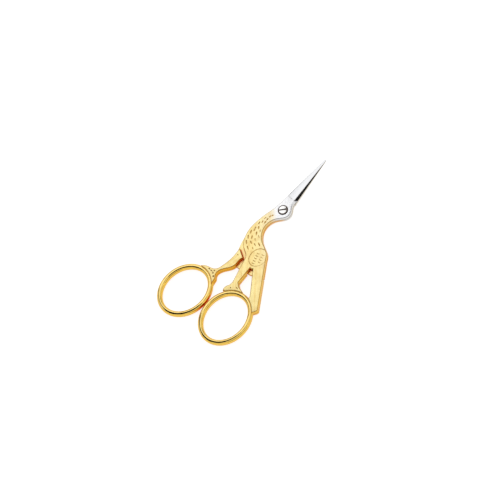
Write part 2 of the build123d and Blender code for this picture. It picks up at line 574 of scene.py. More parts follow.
@dataclass
class Forging:
    """One half of the scissors: plates, blade and finger ring in a single body.

    The mesh is sought in the space between the corners low and high.
    """

    stork: Stork
    name: str
    body: str
    face: Face
    low: Point
    high: Point
    crease: float = 36.0
    ring: FingerRing = field(init=False)
    blade: Blade = field(init=False)
    bore: Bore = field(init=False)
    sheet: Sheet = field(init=False)
    plans: list[np.ndarray] = field(init=False)

    def __post_init__(self) -> None:
        """Measures the half's outlines over its own stretch of the plan."""
        self.sheet = Sheet(self.low[:2], self.high[:2])
        self.plans = [self.sheet.distances(line) for line in self.outlines()]

    def outlines(self) -> list[np.ndarray]:
        """Returns the outlines whose distances the field needs."""
        raise NotImplementedError

    def solid(self, plans: Sequence[np.ndarray], x: np.ndarray, y: np.ndarray, z: np.ndarray) -> np.ndarray:
        """Gives the half's field from its distances in the plan."""
        raise NotImplementedError

    def ricasso(self) -> list[Place]:
        """Finds where the ricasso meets the blade.

        Returns:
            The left and the right corner.
        """
        blade = self.blade
        spine = blade.edge + blade.to_spine * blade.width
        step = blade.edge - blade.to_spine * self.stork.ricasso_step
        return [(side, blade.start) for side in sorted((spine, step))]

    @property
    def wire_plan(self) -> np.ndarray:
        """The plan's distances from the middle of the ring's wire."""
        return self.plans[-2]

    def flat(self, x: np.ndarray, y: np.ndarray) -> list[np.ndarray]:
        """Reads every outline's distance at places of the plan."""
        return [self.sheet.read(plan, x, y) for plan in self.plans]

    def distance(self, places: np.ndarray) -> np.ndarray:
        """Gives the half's field at places of space, one a row."""
        x, y, z = places.T
        return self.solid(self.flat(x, y), x, y, z)

    def slopes(self, places: np.ndarray, step: float = 0.015) -> np.ndarray:
        """Measures the field's slope.

        Args:
            places: places of space, one a row.
            step: how far to either side the field is compared.

        Returns:
            The slopes, one a row.
        """
        shifts = np.eye(3) * step
        slope = [self.distance(places + shift) - self.distance(places - shift) for shift in shifts]
        return np.stack(slope, axis=1) / (2 * step)

    def ground(self, forged: np.ndarray, x: np.ndarray, y: np.ndarray, z: np.ndarray) -> np.ndarray:
        """Ends the blade's sloping side in a small steep step at the ricasso.

        Args:
            forged: the field before grinding.
            x: the places' x.
            y: the places' y.
            z: the places' height.

        Returns:
            The field after it.
        """
        blade = self.blade
        rise = np.maximum(blade.start - y, 0) ** 2 / (2 * blade.step_radius) - blade.step_sink
        return soft_cut(forged, blade.outer_slope(x, z) - rise, self.stork.seam_rim)


@dataclass
class FrontHalf(Forging):
    """The upper blade, one side of the stork, its front leg and tail bar, and the right-hand ring."""

    name: str = "front_half"
    body: str = "front"
    face: Face = Face.FRONT
    low: Point = (-7.3, -64.0, -0.33)
    high: Point = (21.9, 7.0, 4.0)
    edge: float = 0.45
    bore_radius: float = 1.34
    seat_radius: float = 2.1
    seat_depth: float = 0.55
    belly: tuple[Place, ...] = (
        (-0.402, -0.597), (-0.324, -0.683), (-0.206, -0.741), (-0.021, -0.802), (0.036, -0.847),
    )
    crotch: tuple[Place, ...] = ((0.08, -0.9), (0.387, -0.917), (0.56, -0.85))
    leg_left: tuple[Place, ...] = ((0.036, -0.847), (0.062, -0.931), (0.096, -1.0), (0.157, -1.134))
    foot_left: tuple[Place, ...] = (
        (-0.827, 1.117), (-0.845, 1.012), (-0.93, 0.873), (-0.939, 0.79), (-0.9, 0.68),
    )
    foot_right: tuple[Place, ...] = (
        (-0.4, 0.8), (-0.1, 1.05), (-0.171, 1.1), (-0.454, 1.163), (-0.606, 1.263),
    )
    leg_right: tuple[Place, ...] = ((0.339, -0.942), (0.3, -0.75))
    bar_outer: tuple[Place, ...] = ((0.553, -0.692),)
    bar_end: tuple[Place, ...] = ((0.923, 0.933), (0.915, 0.86), (0.835, 0.76), (0.7, 0.6), (0.2, 0.9))
    bar_inner: tuple[Place, ...] = ((0.228, 1.133),)
    bar_root: tuple[Place, ...] = ((0.455, -0.924), (0.3, -0.8))

    def __post_init__(self) -> None:
        """Places the ring, the blade and the screw's bore, then measures the outlines."""
        top = self.stork.top
        self.ring = FingerRing.right(self.stork)
        self.blade = Blade(self.stork.front_base, outward=1, edge=self.edge, to_spine=-1)
        self.bore = Bore(self.bore_radius, top, self.seat_radius, top - self.seat_depth)
        super().__post_init__()

    def outlines(self) -> list[np.ndarray]:
        """Draws the half's outlines.

        Returns:
            The body, the leg, the bar, the wire's centre line and where the feet end.
        """
        stork, ring, spacing = self.stork, self.ring, self.stork.sampling
        ricasso_left, ricasso_right = self.ricasso()
        left = [ricasso_left, *stork.left_edge(), *stork.on_body(self.belly)]
        right = [ricasso_right, *stork.right_edge()]
        body = [(Run.SMOOTH, left), (Run.STRAIGHT, stork.on_body(self.crotch)), (Run.SMOOTH, right[::-1])]
        leg = [
            (Run.SMOOTH, stork.on_body(self.leg_left) + ring.near(self.foot_left)),
            (Run.STRAIGHT, ring.near(self.foot_right) + stork.on_body(self.leg_right)),
        ]
        bar = [
            *stork.on_body(self.bar_outer), *ring.near(self.bar_end),
            *ring.near(self.bar_inner), *stork.on_body(self.bar_root),
        ]
        plates = [closed_outline(stretches, spacing) for stretches in (body, leg, [(Run.STRAIGHT, bar)])]
        return [*plates, ring.oval(0.0, spacing), ring.oval(ring.bite, spacing)]

    def solid(self, plans: Sequence[np.ndarray], x: np.ndarray, y: np.ndarray, z: np.ndarray) -> np.ndarray:
        """Gives the front half's field without its blade.

        Args:
            plans: the distances from the outlines.
            x: the places' x.
            y: the places' y.
            z: the places' height.

        Returns:
            The field.
        """
        stork = self.stork
        body, leg, bar, line, feet_end = plans
        from_axis = np.hypot(x, y)
        legs = np.maximum(soft_union(leg, bar, stork.fillet), -feet_end)
        forged = plate(soft_union(body, legs, stork.fillet), z, 0.0, stork.top, stork.rim, stork.rim)
        step = np.minimum(stork.front_base - z, stork.body_drop + stork.leg_step_gap - from_axis)
        forged = self.ground(np.maximum(forged, step), x, y, z)
        return soft_union(forged, self.ring.wire(line, z), stork.fillet)


@dataclass
class RearHalf(Forging):
    """The lower blade, the stork's other side, its rear leg with the toes, and the left-hand ring."""

    name: str = "rear_half"
    body: str = "rear"
    face: Face = Face.REAR
    low: Point = (-24.0, -64.6, -0.33)
    high: Point = (13.6, 7.0, 4.0)
    edge: float = -1.2
    bore_radius: float = 1.12
    belly: tuple[Place, ...] = ((-0.425, -0.655), (-0.37, -0.76), (-0.302, -0.87))
    tail: tuple[Place, ...] = ((-0.2, -1.05),)
    tail_corner: tuple[Place, ...] = ((0.923, 0.933),)
    leg_left: tuple[Place, ...] = ((-0.299, -0.77), (-0.3, -0.92), (-0.339, -1.031), (-0.393, -1.118))
    foot_left: tuple[Place, ...] = (
        (0.194, 1.399), (0.092, 1.297), (-0.097, 1.215), (-0.253, 1.146), (-0.4, 1.02),
    )
    foot_right: tuple[Place, ...] = (
        (0.615, 0.88), (0.538, 1.044), (0.512, 1.102), (0.412, 1.179), (0.352, 1.278),
    )
    leg_right: tuple[Place, ...] = (
        (-0.25, -1.124), (-0.101, -1.03), (-0.073, -0.96), (-0.064, -0.893), (-0.024, -0.854),
    )

    def __post_init__(self) -> None:
        """Places the ring, the blade and the screw's hole, then measures the outlines."""
        inner = self.stork.half_thickness
        self.ring = FingerRing.left(self.stork)
        self.blade = Blade(inner, outward=-1, edge=self.edge, to_spine=1)
        self.bore = Bore(self.bore_radius, inner)
        super().__post_init__()

    def outlines(self) -> list[np.ndarray]:
        """Draws the half's outlines.

        Returns:
            The body, the leg, the wire's centre line and where the foot ends.
        """
        stork, ring, spacing = self.stork, self.ring, self.stork.sampling
        corner = FingerRing.right(stork).near(self.tail_corner)
        ricasso_left, ricasso_right = self.ricasso()
        left = [ricasso_left, *stork.left_edge(), *stork.on_body(self.belly)]
        right = [ricasso_right, *stork.right_edge()]
        tail = (Run.STRAIGHT, stork.on_body(self.tail) + corner)
        body = [(Run.SMOOTH, left), tail, (Run.SMOOTH, right[::-1])]
        leg = [
            (Run.SMOOTH, stork.on_body(self.leg_left) + ring.near(self.foot_left)),
            (Run.SMOOTH, ring.near(self.foot_right) + stork.on_body(self.leg_right)),
        ]
        plates = [closed_outline(stretches, spacing) for stretches in (body, leg)]
        return [*plates, ring.oval(0.0, spacing), ring.oval(ring.bite, spacing)]

    def solid(self, plans: Sequence[np.ndarray], x: np.ndarray, y: np.ndarray, z: np.ndarray) -> np.ndarray:
        """Gives the rear half's field without its blade.

        Args:
            plans: the distances from the outlines.
            x: the places' x.
            y: the places' y.
            z: the places' height.

        Returns:
            The field.
        """
        stork = self.stork
        body, leg, line, foot_end = plans
        from_axis = np.hypot(x, y)
        round_end = soft_cut(body, from_axis - stork.body_drop, stork.fillet)
        foot = np.maximum(leg, -foot_end)
        lower = soft_union(round_end, foot, stork.fillet)
        forged = plate(lower, z, 0.0, stork.half_thickness, stork.rim, stork.seam_rim)
        standing = plate(foot, z, 0.0, stork.top, stork.rim, stork.rim)
        forged = np.minimum(self.ground(forged, x, y, z), standing)
        return soft_union(forged, self.ring.wire(line, z), stork.fillet)


# Meshes


@dataclass(frozen=True)
class Skinner:
    """Turns a field into a mesh of small quads whose corners lie on the surface and on its sharp edges."""

    cell: float = 0.15
    firmness: float = 0.03
    corner_reach: float = 0.75
    least_square: float = 0.25
    searches: int = 2

    def crossings(self, forging: Forging, start: np.ndarray, axis: int, ends: np.ndarray) -> np.ndarray:
        """Finds where grid edges pierce the surface.

        Args:
            forging: the half that is being meshed.
            start: the edges' first places, one a row.
            axis: the axis that the edges run along.
            ends: the field at both ends of each edge, one pair a row.

        Returns:
            The pierced places, one a row.
        """
        near, far = np.zeros(len(start)), np.ones(len(start))
        near_value, far_value = ends.T.astype(float)
        places = start.copy()
        for search in range(self.searches + 1):
            share = near + (far - near) * near_value / (near_value - far_value)
            places[:, axis] = start[:, axis] + share * self.cell
            if search == self.searches:
                break
            value = forging.distance(places)
            before = np.sign(value) == np.sign(near_value)
            near, near_value = np.where(before, share, near), np.where(before, value, near_value)
            far, far_value = np.where(before, far, share), np.where(before, far_value, value)
            near_value = np.where(near_value == 0, TINY * -np.sign(far_value), near_value)
        return places

    def mesh(self, forging: Forging, name: str) -> bpy.types.Mesh:
        """Meshes a forging's field.

        Args:
            forging: the half to mesh.
            name: the mesh's name.

        Returns:
            A closed mesh in millimetres.
        """
        hit, slope, around = self.pierced(forging)
        cells, quads = np.unique(around, return_inverse=True)
        quads = quads.reshape(-1, 4)
        vertices = self.drawn(forging, self.corners(hit, slope, quads, len(cells)))
        mesh = bpy.data.meshes.new(name)
        mesh.from_pydata(vertices.tolist(), [], quads.tolist())
        mesh.validate()
        return mesh

    def pierced(self, forging: Forging) -> tuple[np.ndarray, np.ndarray, np.ndarray]:
        """Finds every grid edge that pierces the surface.

        Args:
            forging: the half that is being meshed.

        Returns:
            One row for each edge: its pierced place, the surface's direction there, and the numbers of the
            four cells round the edge, in the order that turns their quad outwards.
        """
        low = np.array(forging.low)
        axes = [np.arange(start, end, self.cell) for start, end in zip(forging.low, forging.high)]
        x, y = np.meshgrid(axes[0], axes[1], indexing="ij")
        plans = forging.flat(x, y)
        values = np.stack([forging.solid(plans, x, y, z) for z in axes[2]], axis=2)
        inside = values < 0
        units = np.eye(3, dtype=int)
        hits, slopes, cells = [], [], []
        for axis in range(3):
            along, second, third = np.roll(units, -axis, axis=0)
            crossed = np.roll(inside, -1, axis) != inside
            np.moveaxis(crossed, axis, 0)[-1] = False
            index = np.argwhere(crossed)
            ends = np.stack([values[tuple(index.T)], values[tuple((index + along).T)]], axis=1)
            places = self.crossings(forging, low + index * self.cell, axis, ends)
            hits.append(places)
            slopes.append(forging.slopes(places))
            around = np.stack([index - second - third, index - third, index, index - second], axis=1)
            inward = ends[:, 0] > 0
            around[inward] = around[inward][:, ::-1]
            cells.append(np.ravel_multi_index(tuple(np.moveaxis(around, 2, 0)), values.shape))
        slope = np.vstack(slopes)
        slope /= np.linalg.norm(slope, axis=1, keepdims=True)
        return np.vstack(hits), slope, np.vstack(cells)

    def drawn(self, forging: Forging, places: np.ndarray) -> np.ndarray:
        """Draws places that lie near the surface onto it.

        Args:
            forging: the half that is being meshed.
            places: the places, one a row.

        Returns:
            The places, none moved by more than a third of a cell along an axis.
        """
        slope = forging.slopes(places)
        square = np.maximum((slope**2).sum(axis=1), self.least_square)
        step = (forging.distance(places) / square)[:, None] * slope
        limit = self.cell / 3
        return places - np.clip(step, -limit, limit)

    def corners(self, hit: np.ndarray, slope: np.ndarray, quads: np.ndarray, count: int) -> np.ndarray:
        """Places each cell's corner where the planes of its crossings meet.

        Args:
            hit: the pierced places, one a row.
            slope: the surface's direction at each.
            quads: the four cells round each pierced edge.
            count: the number of cells.

        Returns:
            One place for each cell.
        """
        owner = quads.ravel()

        def total(values: np.ndarray) -> np.ndarray:
            """Adds up values over each cell's crossings."""
            return np.bincount(owner, np.repeat(values, 4), count)

        number = np.bincount(owner, minlength=count)[:, None]
        middle = np.stack([total(hit[:, i]) for i in range(3)], axis=1) / number
        planes = np.empty((count, 3, 3))
        for i in range(3):
            for j in range(i, 3):
                planes[:, i, j] = planes[:, j, i] = total(slope[:, i] * slope[:, j])
        reach = (slope * hit).sum(axis=1)
        pull = np.stack([total(slope[:, i] * reach) for i in range(3)], axis=1)
        pull -= (planes @ middle[:, :, None])[:, :, 0]
        planes += np.eye(3) * (self.firmness * number)[:, :, None]
        shift = np.linalg.solve(planes, pull[:, :, None])[:, :, 0]
        limit = self.corner_reach * self.cell
        return middle + np.clip(shift, -limit, limit)


class Joining(Enum):
    """How one mesh meets another."""

    ADD = "UNION"
    CUT = "DIFFERENCE"


def plain_object(name: str, mesh: bpy.types.Mesh) -> bpy.types.Object:
    """Puts a mesh into the scene as an object at the origin.

    Args:
        name: the object's name.
        mesh: its mesh.

    Returns:
        The object.
    """
    piece = bpy.data.objects.new(name, mesh)
    bpy.context.scene.collection.objects.link(piece)
    return piece


def settled(piece: bpy.types.Object) -> bpy.types.Object:
    """Turns an object's modifiers into its own plain mesh.

    Args:
        piece: the object, with its modifiers.

    Returns:
        The same object.
    """
    evaluated = piece.evaluated_get(bpy.context.evaluated_depsgraph_get())
    mesh = bpy.data.meshes.new_from_object(evaluated)
    piece.modifiers.clear()
    before = piece.data
    piece.data = mesh
    bpy.data.meshes.remove(before)
    return piece


def joined(piece: bpy.types.Object, tool: bpy.types.Object, how: Joining) -> bpy.types.Object:
    """Adds one closed object to another, or cuts it out.

    Args:
        piece: the object that is kept.
        tool: the object that is used up.
        how: whether the tool is added or cut out.

    Returns:
        The kept object.
    """
    modifier = piece.modifiers.new(how.value.lower(), "BOOLEAN")
    modifier.object = tool
    modifier.operation = how.value
    modifier.solver = "MANIFOLD"
    modifier.material_mode = "TRANSFER"
    before = len(piece.data.polygons)
    after = len(settled(piece).data.polygons)
    log.info("%s: %s %s, %d faces to %d", piece.name, how.value.lower(), tool.name, before, after)
    bpy.data.objects.remove(tool)
    return piece


def turned(name: str, profile: Sequence[Place], sides: int = 96) -> bpy.types.Object:
    """Turns a profile round the pivot axis.

    Args:
        name: the object's name.
        profile: radius and height of each corner, from the axis below to the axis above.
        sides: the number of sides all round.

    Returns:
        A closed object in millimetres.
    """
    vertices: list[Point] = []
    rings: list[list[int]] = []
    for radius, height in profile:
        first = len(vertices)
        if radius == 0:
            vertices.append((0.0, 0.0, height))
            rings.append([first] * sides)
            continue
        for side in range(sides):
            turn = 2 * math.pi * side / sides
            vertices.append((radius * math.cos(turn), radius * math.sin(turn), height))
        rings.append(list(range(first, first + sides)))
    faces = []
    for low, high in zip(rings, rings[1:]):
        for side in range(sides):
            after = (side + 1) % sides
            faces.append(tuple(dict.fromkeys((low[side], low[after], high[after], high[side]))))
    mesh = bpy.data.meshes.new(name)
    mesh.from_pydata(vertices, [], faces)
    return plain_object(name, mesh)


# Node trees


class Nodes:
    """Adds nodes to one tree and joins them."""

    def __init__(self, tree: bpy.types.NodeTree) -> None:
        """Starts on a tree, which keeps whatever it has."""
        self.tree = tree

    def add(self, kind: str, *inputs: object, **named: object) -> bpy.types.Node:
        """Adds a node.

        Args:
            kind: the node's type.
            inputs: values or sockets for its first inputs in order, or None to leave one as it is.
            named: settings of the node, or values and sockets for inputs by name.

        Returns:
            The node.
        """
        node = self.tree.nodes.new(kind)
        sockets = {key: value for key, value in named.items() if not hasattr(node, key)}
        for key, value in named.items():
            if key not in sockets:
                setattr(node, key, value)
        shown = [socket for socket in node.inputs if socket.enabled]
        for socket, value in zip(shown, inputs):
            self.feed(socket, value)
        for key, value in sockets.items():
            self.feed(node.inputs[key.replace("_", " ")], value)
        return node

    def feed(self, socket: bpy.types.NodeSocket, value: object) -> None:
        """Links a socket to an input, or sets the input's own value.

        Args:
            socket: the input.
            value: a socket, a plain value, or None to leave the input as it is.
        """
        if isinstance(value, bpy.types.NodeSocket):
            self.tree.links.new(value, socket)
        elif value is not None:
            socket.default_value = value

    def math(self, operation: str, *inputs: object) -> bpy.types.NodeSocket:
        """Adds one step of arithmetic and returns its result."""
        return self.add("ShaderNodeMath", *inputs, operation=operation).outputs[0]

    def ramp(self, value: object, low: object, high: object) -> bpy.types.NodeSocket:
        """Turns low..high into 0..1 smoothly and returns the result."""
        node = self.add("ShaderNodeMapRange", value, low, high, 0.0, 1.0, interpolation_type="SMOOTHSTEP")
        return node.outputs[0]

    def between(self, share: object, first: object, second: object) -> bpy.types.NodeSocket:
        """Mixes two numbers and returns the result."""
        return self.add("ShaderNodeMix", share, first, second, data_type="FLOAT").outputs[0]

    def mixed(self, share: object, first: object, second: object) -> bpy.types.NodeSocket:
        """Mixes two colours.

        Args:
            share: how much of the second colour.
            first: the first colour.
            second: the second colour.

        Returns:
            The mixture.
        """
        node = self.add("ShaderNodeMix", data_type="RGBA")
        for socket, value in zip((node.inputs[0], node.inputs[6], node.inputs[7]), (share, first, second)):
            self.feed(socket, value)
        return node.outputs[2]

    def closeness(self, distance: float, core: float, unmarked: float) -> bpy.types.NodeSocket:
        """Marks where other surfaces stand close.

        Args:
            distance: how far to look round.
            core: the open share at which the mark is full.
            unmarked: the open share at which it ends.

        Returns:
            The mark, from 0 to 1.
        """
        around = self.add("ShaderNodeAmbientOcclusion", Distance=distance, samples=NEAR_SAMPLES).outputs["AO"]
        return self.math("SUBTRACT", 1.0, self.ramp(around, core, unmarked))

    def use(self, group: bpy.types.NodeTree, **values: object) -> bpy.types.NodeSocket:
        """Places a shared effect in a material.

        Args:
            group: the effect's group.
            values: values or sockets for the group's inputs, by name.

        Returns:
            The group's output.
        """
        node = self.add("ShaderNodeGroup", node_tree=group)
        for label, value in values.items():
            self.feed(node.inputs[label], value)
        return node.outputs[0]


class Group:
    """A node group with named inputs and one output."""

    def __init__(self, kind: Tree, name: str, inputs: dict[str, Socket | float], output: str) -> None:
        """Makes an empty group.

        Args:
            kind: the tree's kind.
            name: the group's name.
            inputs: each input's kind, or for a number its value.
            output: the output's name.
        """
        tree = bpy.data.node_groups.new(name, kind.value)
        for label, value in inputs.items():
            number = Socket.COUNT if isinstance(value, int) else Socket.NUMBER
            sort = value if isinstance(value, Socket) else number
            socket = tree.interface.new_socket(label, in_out="INPUT", socket_type=sort.value)
            if value is not sort:
                socket.default_value = value
        sort = Socket.NUMBER if kind is Tree.SHADER else Socket.GEOMETRY
        tree.interface.new_socket(output, in_out="OUTPUT", socket_type=sort.value)
        self.nodes = Nodes(tree)
        source, sink = self.nodes.add("NodeGroupInput"), self.nodes.add("NodeGroupOutput")
        self.given = {socket.name: socket for socket in source.outputs if socket.name}
        self.result = sink.inputs[output]

    def end(self, value: bpy.types.NodeSocket) -> bpy.types.NodeTree:
        """Puts a value out and returns the finished tree."""
        self.nodes.feed(self.result, value)
        return self.nodes.tree

    def end_dressed(self, cuts: bpy.types.NodeSocket) -> bpy.types.NodeTree:
        """Puts cutters out as plain geometry in the given material.

        Args:
            cuts: the cutters.

        Returns:
            The finished tree.
        """
        real = self.nodes.add("GeometryNodeRealizeInstances", cuts).outputs[0]
        dressed = self.nodes.add("GeometryNodeSetMaterial", real, Material=self.given["Material"])
        return self.end(dressed.outputs[0])


def linear(*shades: int) -> Colour:
    """Turns a colour as a screen shows it, from 0 to 255, into a linear one."""
    parts = [shade / 255 for shade in shades]
    return (*(p / 12.92 if p <= 0.04045 else ((p + 0.055) / 1.055) ** 2.4 for p in parts), 1.0)


# Engraving


@dataclass(frozen=True)
class Nick:
    """One short chisel cut: where it is, its length, its turn from the long axis and its strength."""

    x: float
    y: float
    length: float
    turn: float
    strength: float = 1.0


@dataclass(frozen=True)
class BarbRow:
    """A row of short engraved strokes: where the first one is, how many there are and their strength."""

    first: Place
    count: int
    strength: float


@dataclass(frozen=True)
class Plumage:
    """The feathers down the neck and breast, and the claws on each half's foot."""

    width: float = 0.8
    depth: float = 0.17
    rise: float = 0.06
    middle_width: float = 0.86
    widening: float = 0.32
    bead_sides: int = 14
    bead_rings: int = 9
    feathers: tuple[Nick, ...] = (
        Nick(-2.1, -4.37, 1.0, -25), Nick(-2.67, -5.34, 1.4, -18), Nick(-2.83, -7.0, 1.6, 2),
        Nick(-3.93, -7.05, 1.7, -4, 0.55), Nick(-2.75, -8.5, 1.6, 2), Nick(-3.87, -8.98, 1.4, 10),
        Nick(-4.67, -10.23, 1.8, 0, 0.8), Nick(-3.51, -11.94, 1.6, 30), Nick(-4.63, -12.76, 1.3, 12),
        Nick(-4.32, -13.8, 1.2, 14), Nick(-1.99, -12.78, 1.6, 35, 0.5), Nick(-2.58, -14.45, 2.0, 30),
        Nick(-5.02, -15.25, 2.0, 18), Nick(-0.83, -15.0, 1.6, 55, 0.5), Nick(-3.09, -16.93, 2.0, 32),
        Nick(-4.54, -17.62, 2.0, 38), Nick(-1.32, -16.88, 1.6, 45, 0.5), Nick(1.52, -17.62, 2.1, 64),
        Nick(-1.92, -18.85, 1.8, 62), Nick(0.06, -18.72, 1.7, 62, 0.6), Nick(-3.6, -19.92, 2.2, 46),
        Nick(0.35, -20.46, 1.3, 62, 0.5), Nick(-1.55, -21.51, 2.1, 62),
    )
    front_claws: tuple[Nick, ...] = (Nick(3.82, -39.26, 0.8, 30, 0.6), Nick(6.17, -37.84, 1.3, 80, 0.5))
    rear_claws: tuple[Nick, ...] = (
        Nick(-9.03, -37.98, 1.2, 84, 0.7), Nick(-7.83, -38.1, 0.9, 80), Nick(-6.81, -37.35, 0.7, 60),
        Nick(-6.6, -38.5, 1.2, 42, 0.8), Nick(-5.5, -39.6, 1.0, 40), Nick(-3.11, -26.24, 0.9, 75, 0.5),
    )

    def tree(self) -> bpy.types.NodeTree:
        """Builds the tree that sets a chisel cut at every point of a mesh.

        Returns:
            The tree.
        """
        points = {"Points": Socket.GEOMETRY, "Material": Socket.MATERIAL}
        sizes = {"Width": self.width, "Depth": self.depth, "Unevenness": 0.12, "Seed": 7}
        group = Group(Tree.GEOMETRY, "chisel_cuts", points | sizes, "Cuts")
        nodes, given = group.nodes, group.given
        bead = nodes.add("GeometryNodeMeshUVSphere", self.bead_sides, self.bead_rings, 1.0).outputs[0]
        place = nodes.add("GeometryNodeInputPosition").outputs[0]
        apart = nodes.add("ShaderNodeSeparateXYZ", place).outputs
        narrow = nodes.math("MULTIPLY_ADD", apart[1], self.widening, self.middle_width)
        drop = nodes.add("ShaderNodeCombineXYZ", nodes.math("MULTIPLY", apart[0], narrow), apart[1], apart[2])
        bead = nodes.add("GeometryNodeSetPosition", bead, Position=drop.outputs[0]).outputs[0]
        size, turn, strength = (
            nodes.add("GeometryNodeInputNamedAttribute", name, data_type="FLOAT").outputs[0]
            for name in ("length", "turn", "strength")
        )
        low = nodes.math("SUBTRACT", 1.0, given["Unevenness"])
        high = nodes.math("ADD", 1.0, given["Unevenness"])
        random = nodes.add("FunctionNodeRandomValue", low, high, Seed=given["Seed"], data_type="FLOAT")
        across = nodes.math("MULTIPLY", nodes.math("MULTIPLY", given["Width"], 0.5), random.outputs[1])
        along = nodes.math("MULTIPLY", size, 0.5)
        across = nodes.math("MULTIPLY", across, nodes.math("POWER", strength, 0.5))
        deep = nodes.math("MULTIPLY", given["Depth"], nodes.math("POWER", strength, 0.5))
        scale = nodes.add("ShaderNodeCombineXYZ", across, along, deep).outputs[0]
        angle = nodes.add("ShaderNodeCombineXYZ", 0.0, 0.0, turn).outputs[0]
        rotation = nodes.add("FunctionNodeEulerToRotation", angle).outputs[0]
        cuts = nodes.add(
            "GeometryNodeInstanceOnPoints", given["Points"], Instance=bead, Rotation=rotation, Scale=scale
        )
        return group.end_dressed(cuts.outputs[0])


@dataclass(frozen=True)
class Wing:
    """The wing on the body: an oval line with two rows of feather barbs inside it."""

    centre: Place = (4.85, -22.35)
    across: float = 3.5
    along: float = 4.2
    lean: float = 12.0
    line: float = 0.27
    sink: float = 0.1
    spacing: float = 0.16
    oval_strength: float = 0.7
    oval_fading: float = 0.4
    barb: tuple[Place, ...] = ((-0.62, 0.02), (0.05, -0.14), (0.66, 0.22))
    barb_step: Place = (0.22, -1.14)
    barb_end: float = 0.12
    rows: tuple[BarbRow, ...] = (BarbRow((3.75, -20.95), 5, 1.25), BarbRow((5.9, -20.3), 4, 0.55))

    def grooves(self) -> list[tuple[np.ndarray, np.ndarray, bool]]:
        """Works out every line of the wing.

        Returns:
            For each line its places, its strength at each and whether it closes.
        """
        lean = math.radians(self.lean)
        count = math.ceil(2 * math.pi * self.along / self.spacing)
        turn = np.arange(count) * 2 * math.pi / count
        u, v = self.across * np.cos(turn), self.along * np.sin(turn)
        x = self.centre[0] + u * math.cos(lean) + v * math.sin(lean)
        y = self.centre[1] - u * math.sin(lean) + v * math.cos(lean)
        strength = self.oval_strength - self.oval_fading * np.cos(turn)
        lines = [(np.stack([x, y], axis=1), strength, True)]
        for row in self.rows:
            for i in range(row.count):
                middle = np.array(row.first) + np.array(self.barb_step) * i
                places = curve_through(np.array(self.barb) + middle, self.spacing)
                taper = np.sin(np.linspace(self.barb_end, math.pi - self.barb_end, len(places))) ** 0.5
                lines.append((places, taper * row.strength, False))
        return lines

    def tree(self) -> bpy.types.NodeTree:
        """Builds the tree that runs a round cutter along the lines of a mesh.

        Returns:
            The tree.
        """
        lines = {"Lines": Socket.GEOMETRY, "Material": Socket.MATERIAL}
        sizes = {"Radius": self.line, "Sides": 12}
        group = Group(Tree.GEOMETRY, "engraved_lines", lines | sizes, "Cuts")
        nodes, given = group.nodes, group.given
        curve = nodes.add("GeometryNodeMeshToCurve", given["Lines"]).outputs[0]
        strength = nodes.add("GeometryNodeInputNamedAttribute", "strength", data_type="FLOAT").outputs[0]
        circle = nodes.add("GeometryNodeCurvePrimitiveCircle", given["Sides"], Radius=given["Radius"])
        tube = nodes.add(
            "GeometryNodeCurveToMesh", curve, Profile_Curve=circle.outputs[0], Scale=strength, Fill_Caps=True
        )
        return group.end_dressed(tube.outputs[0])


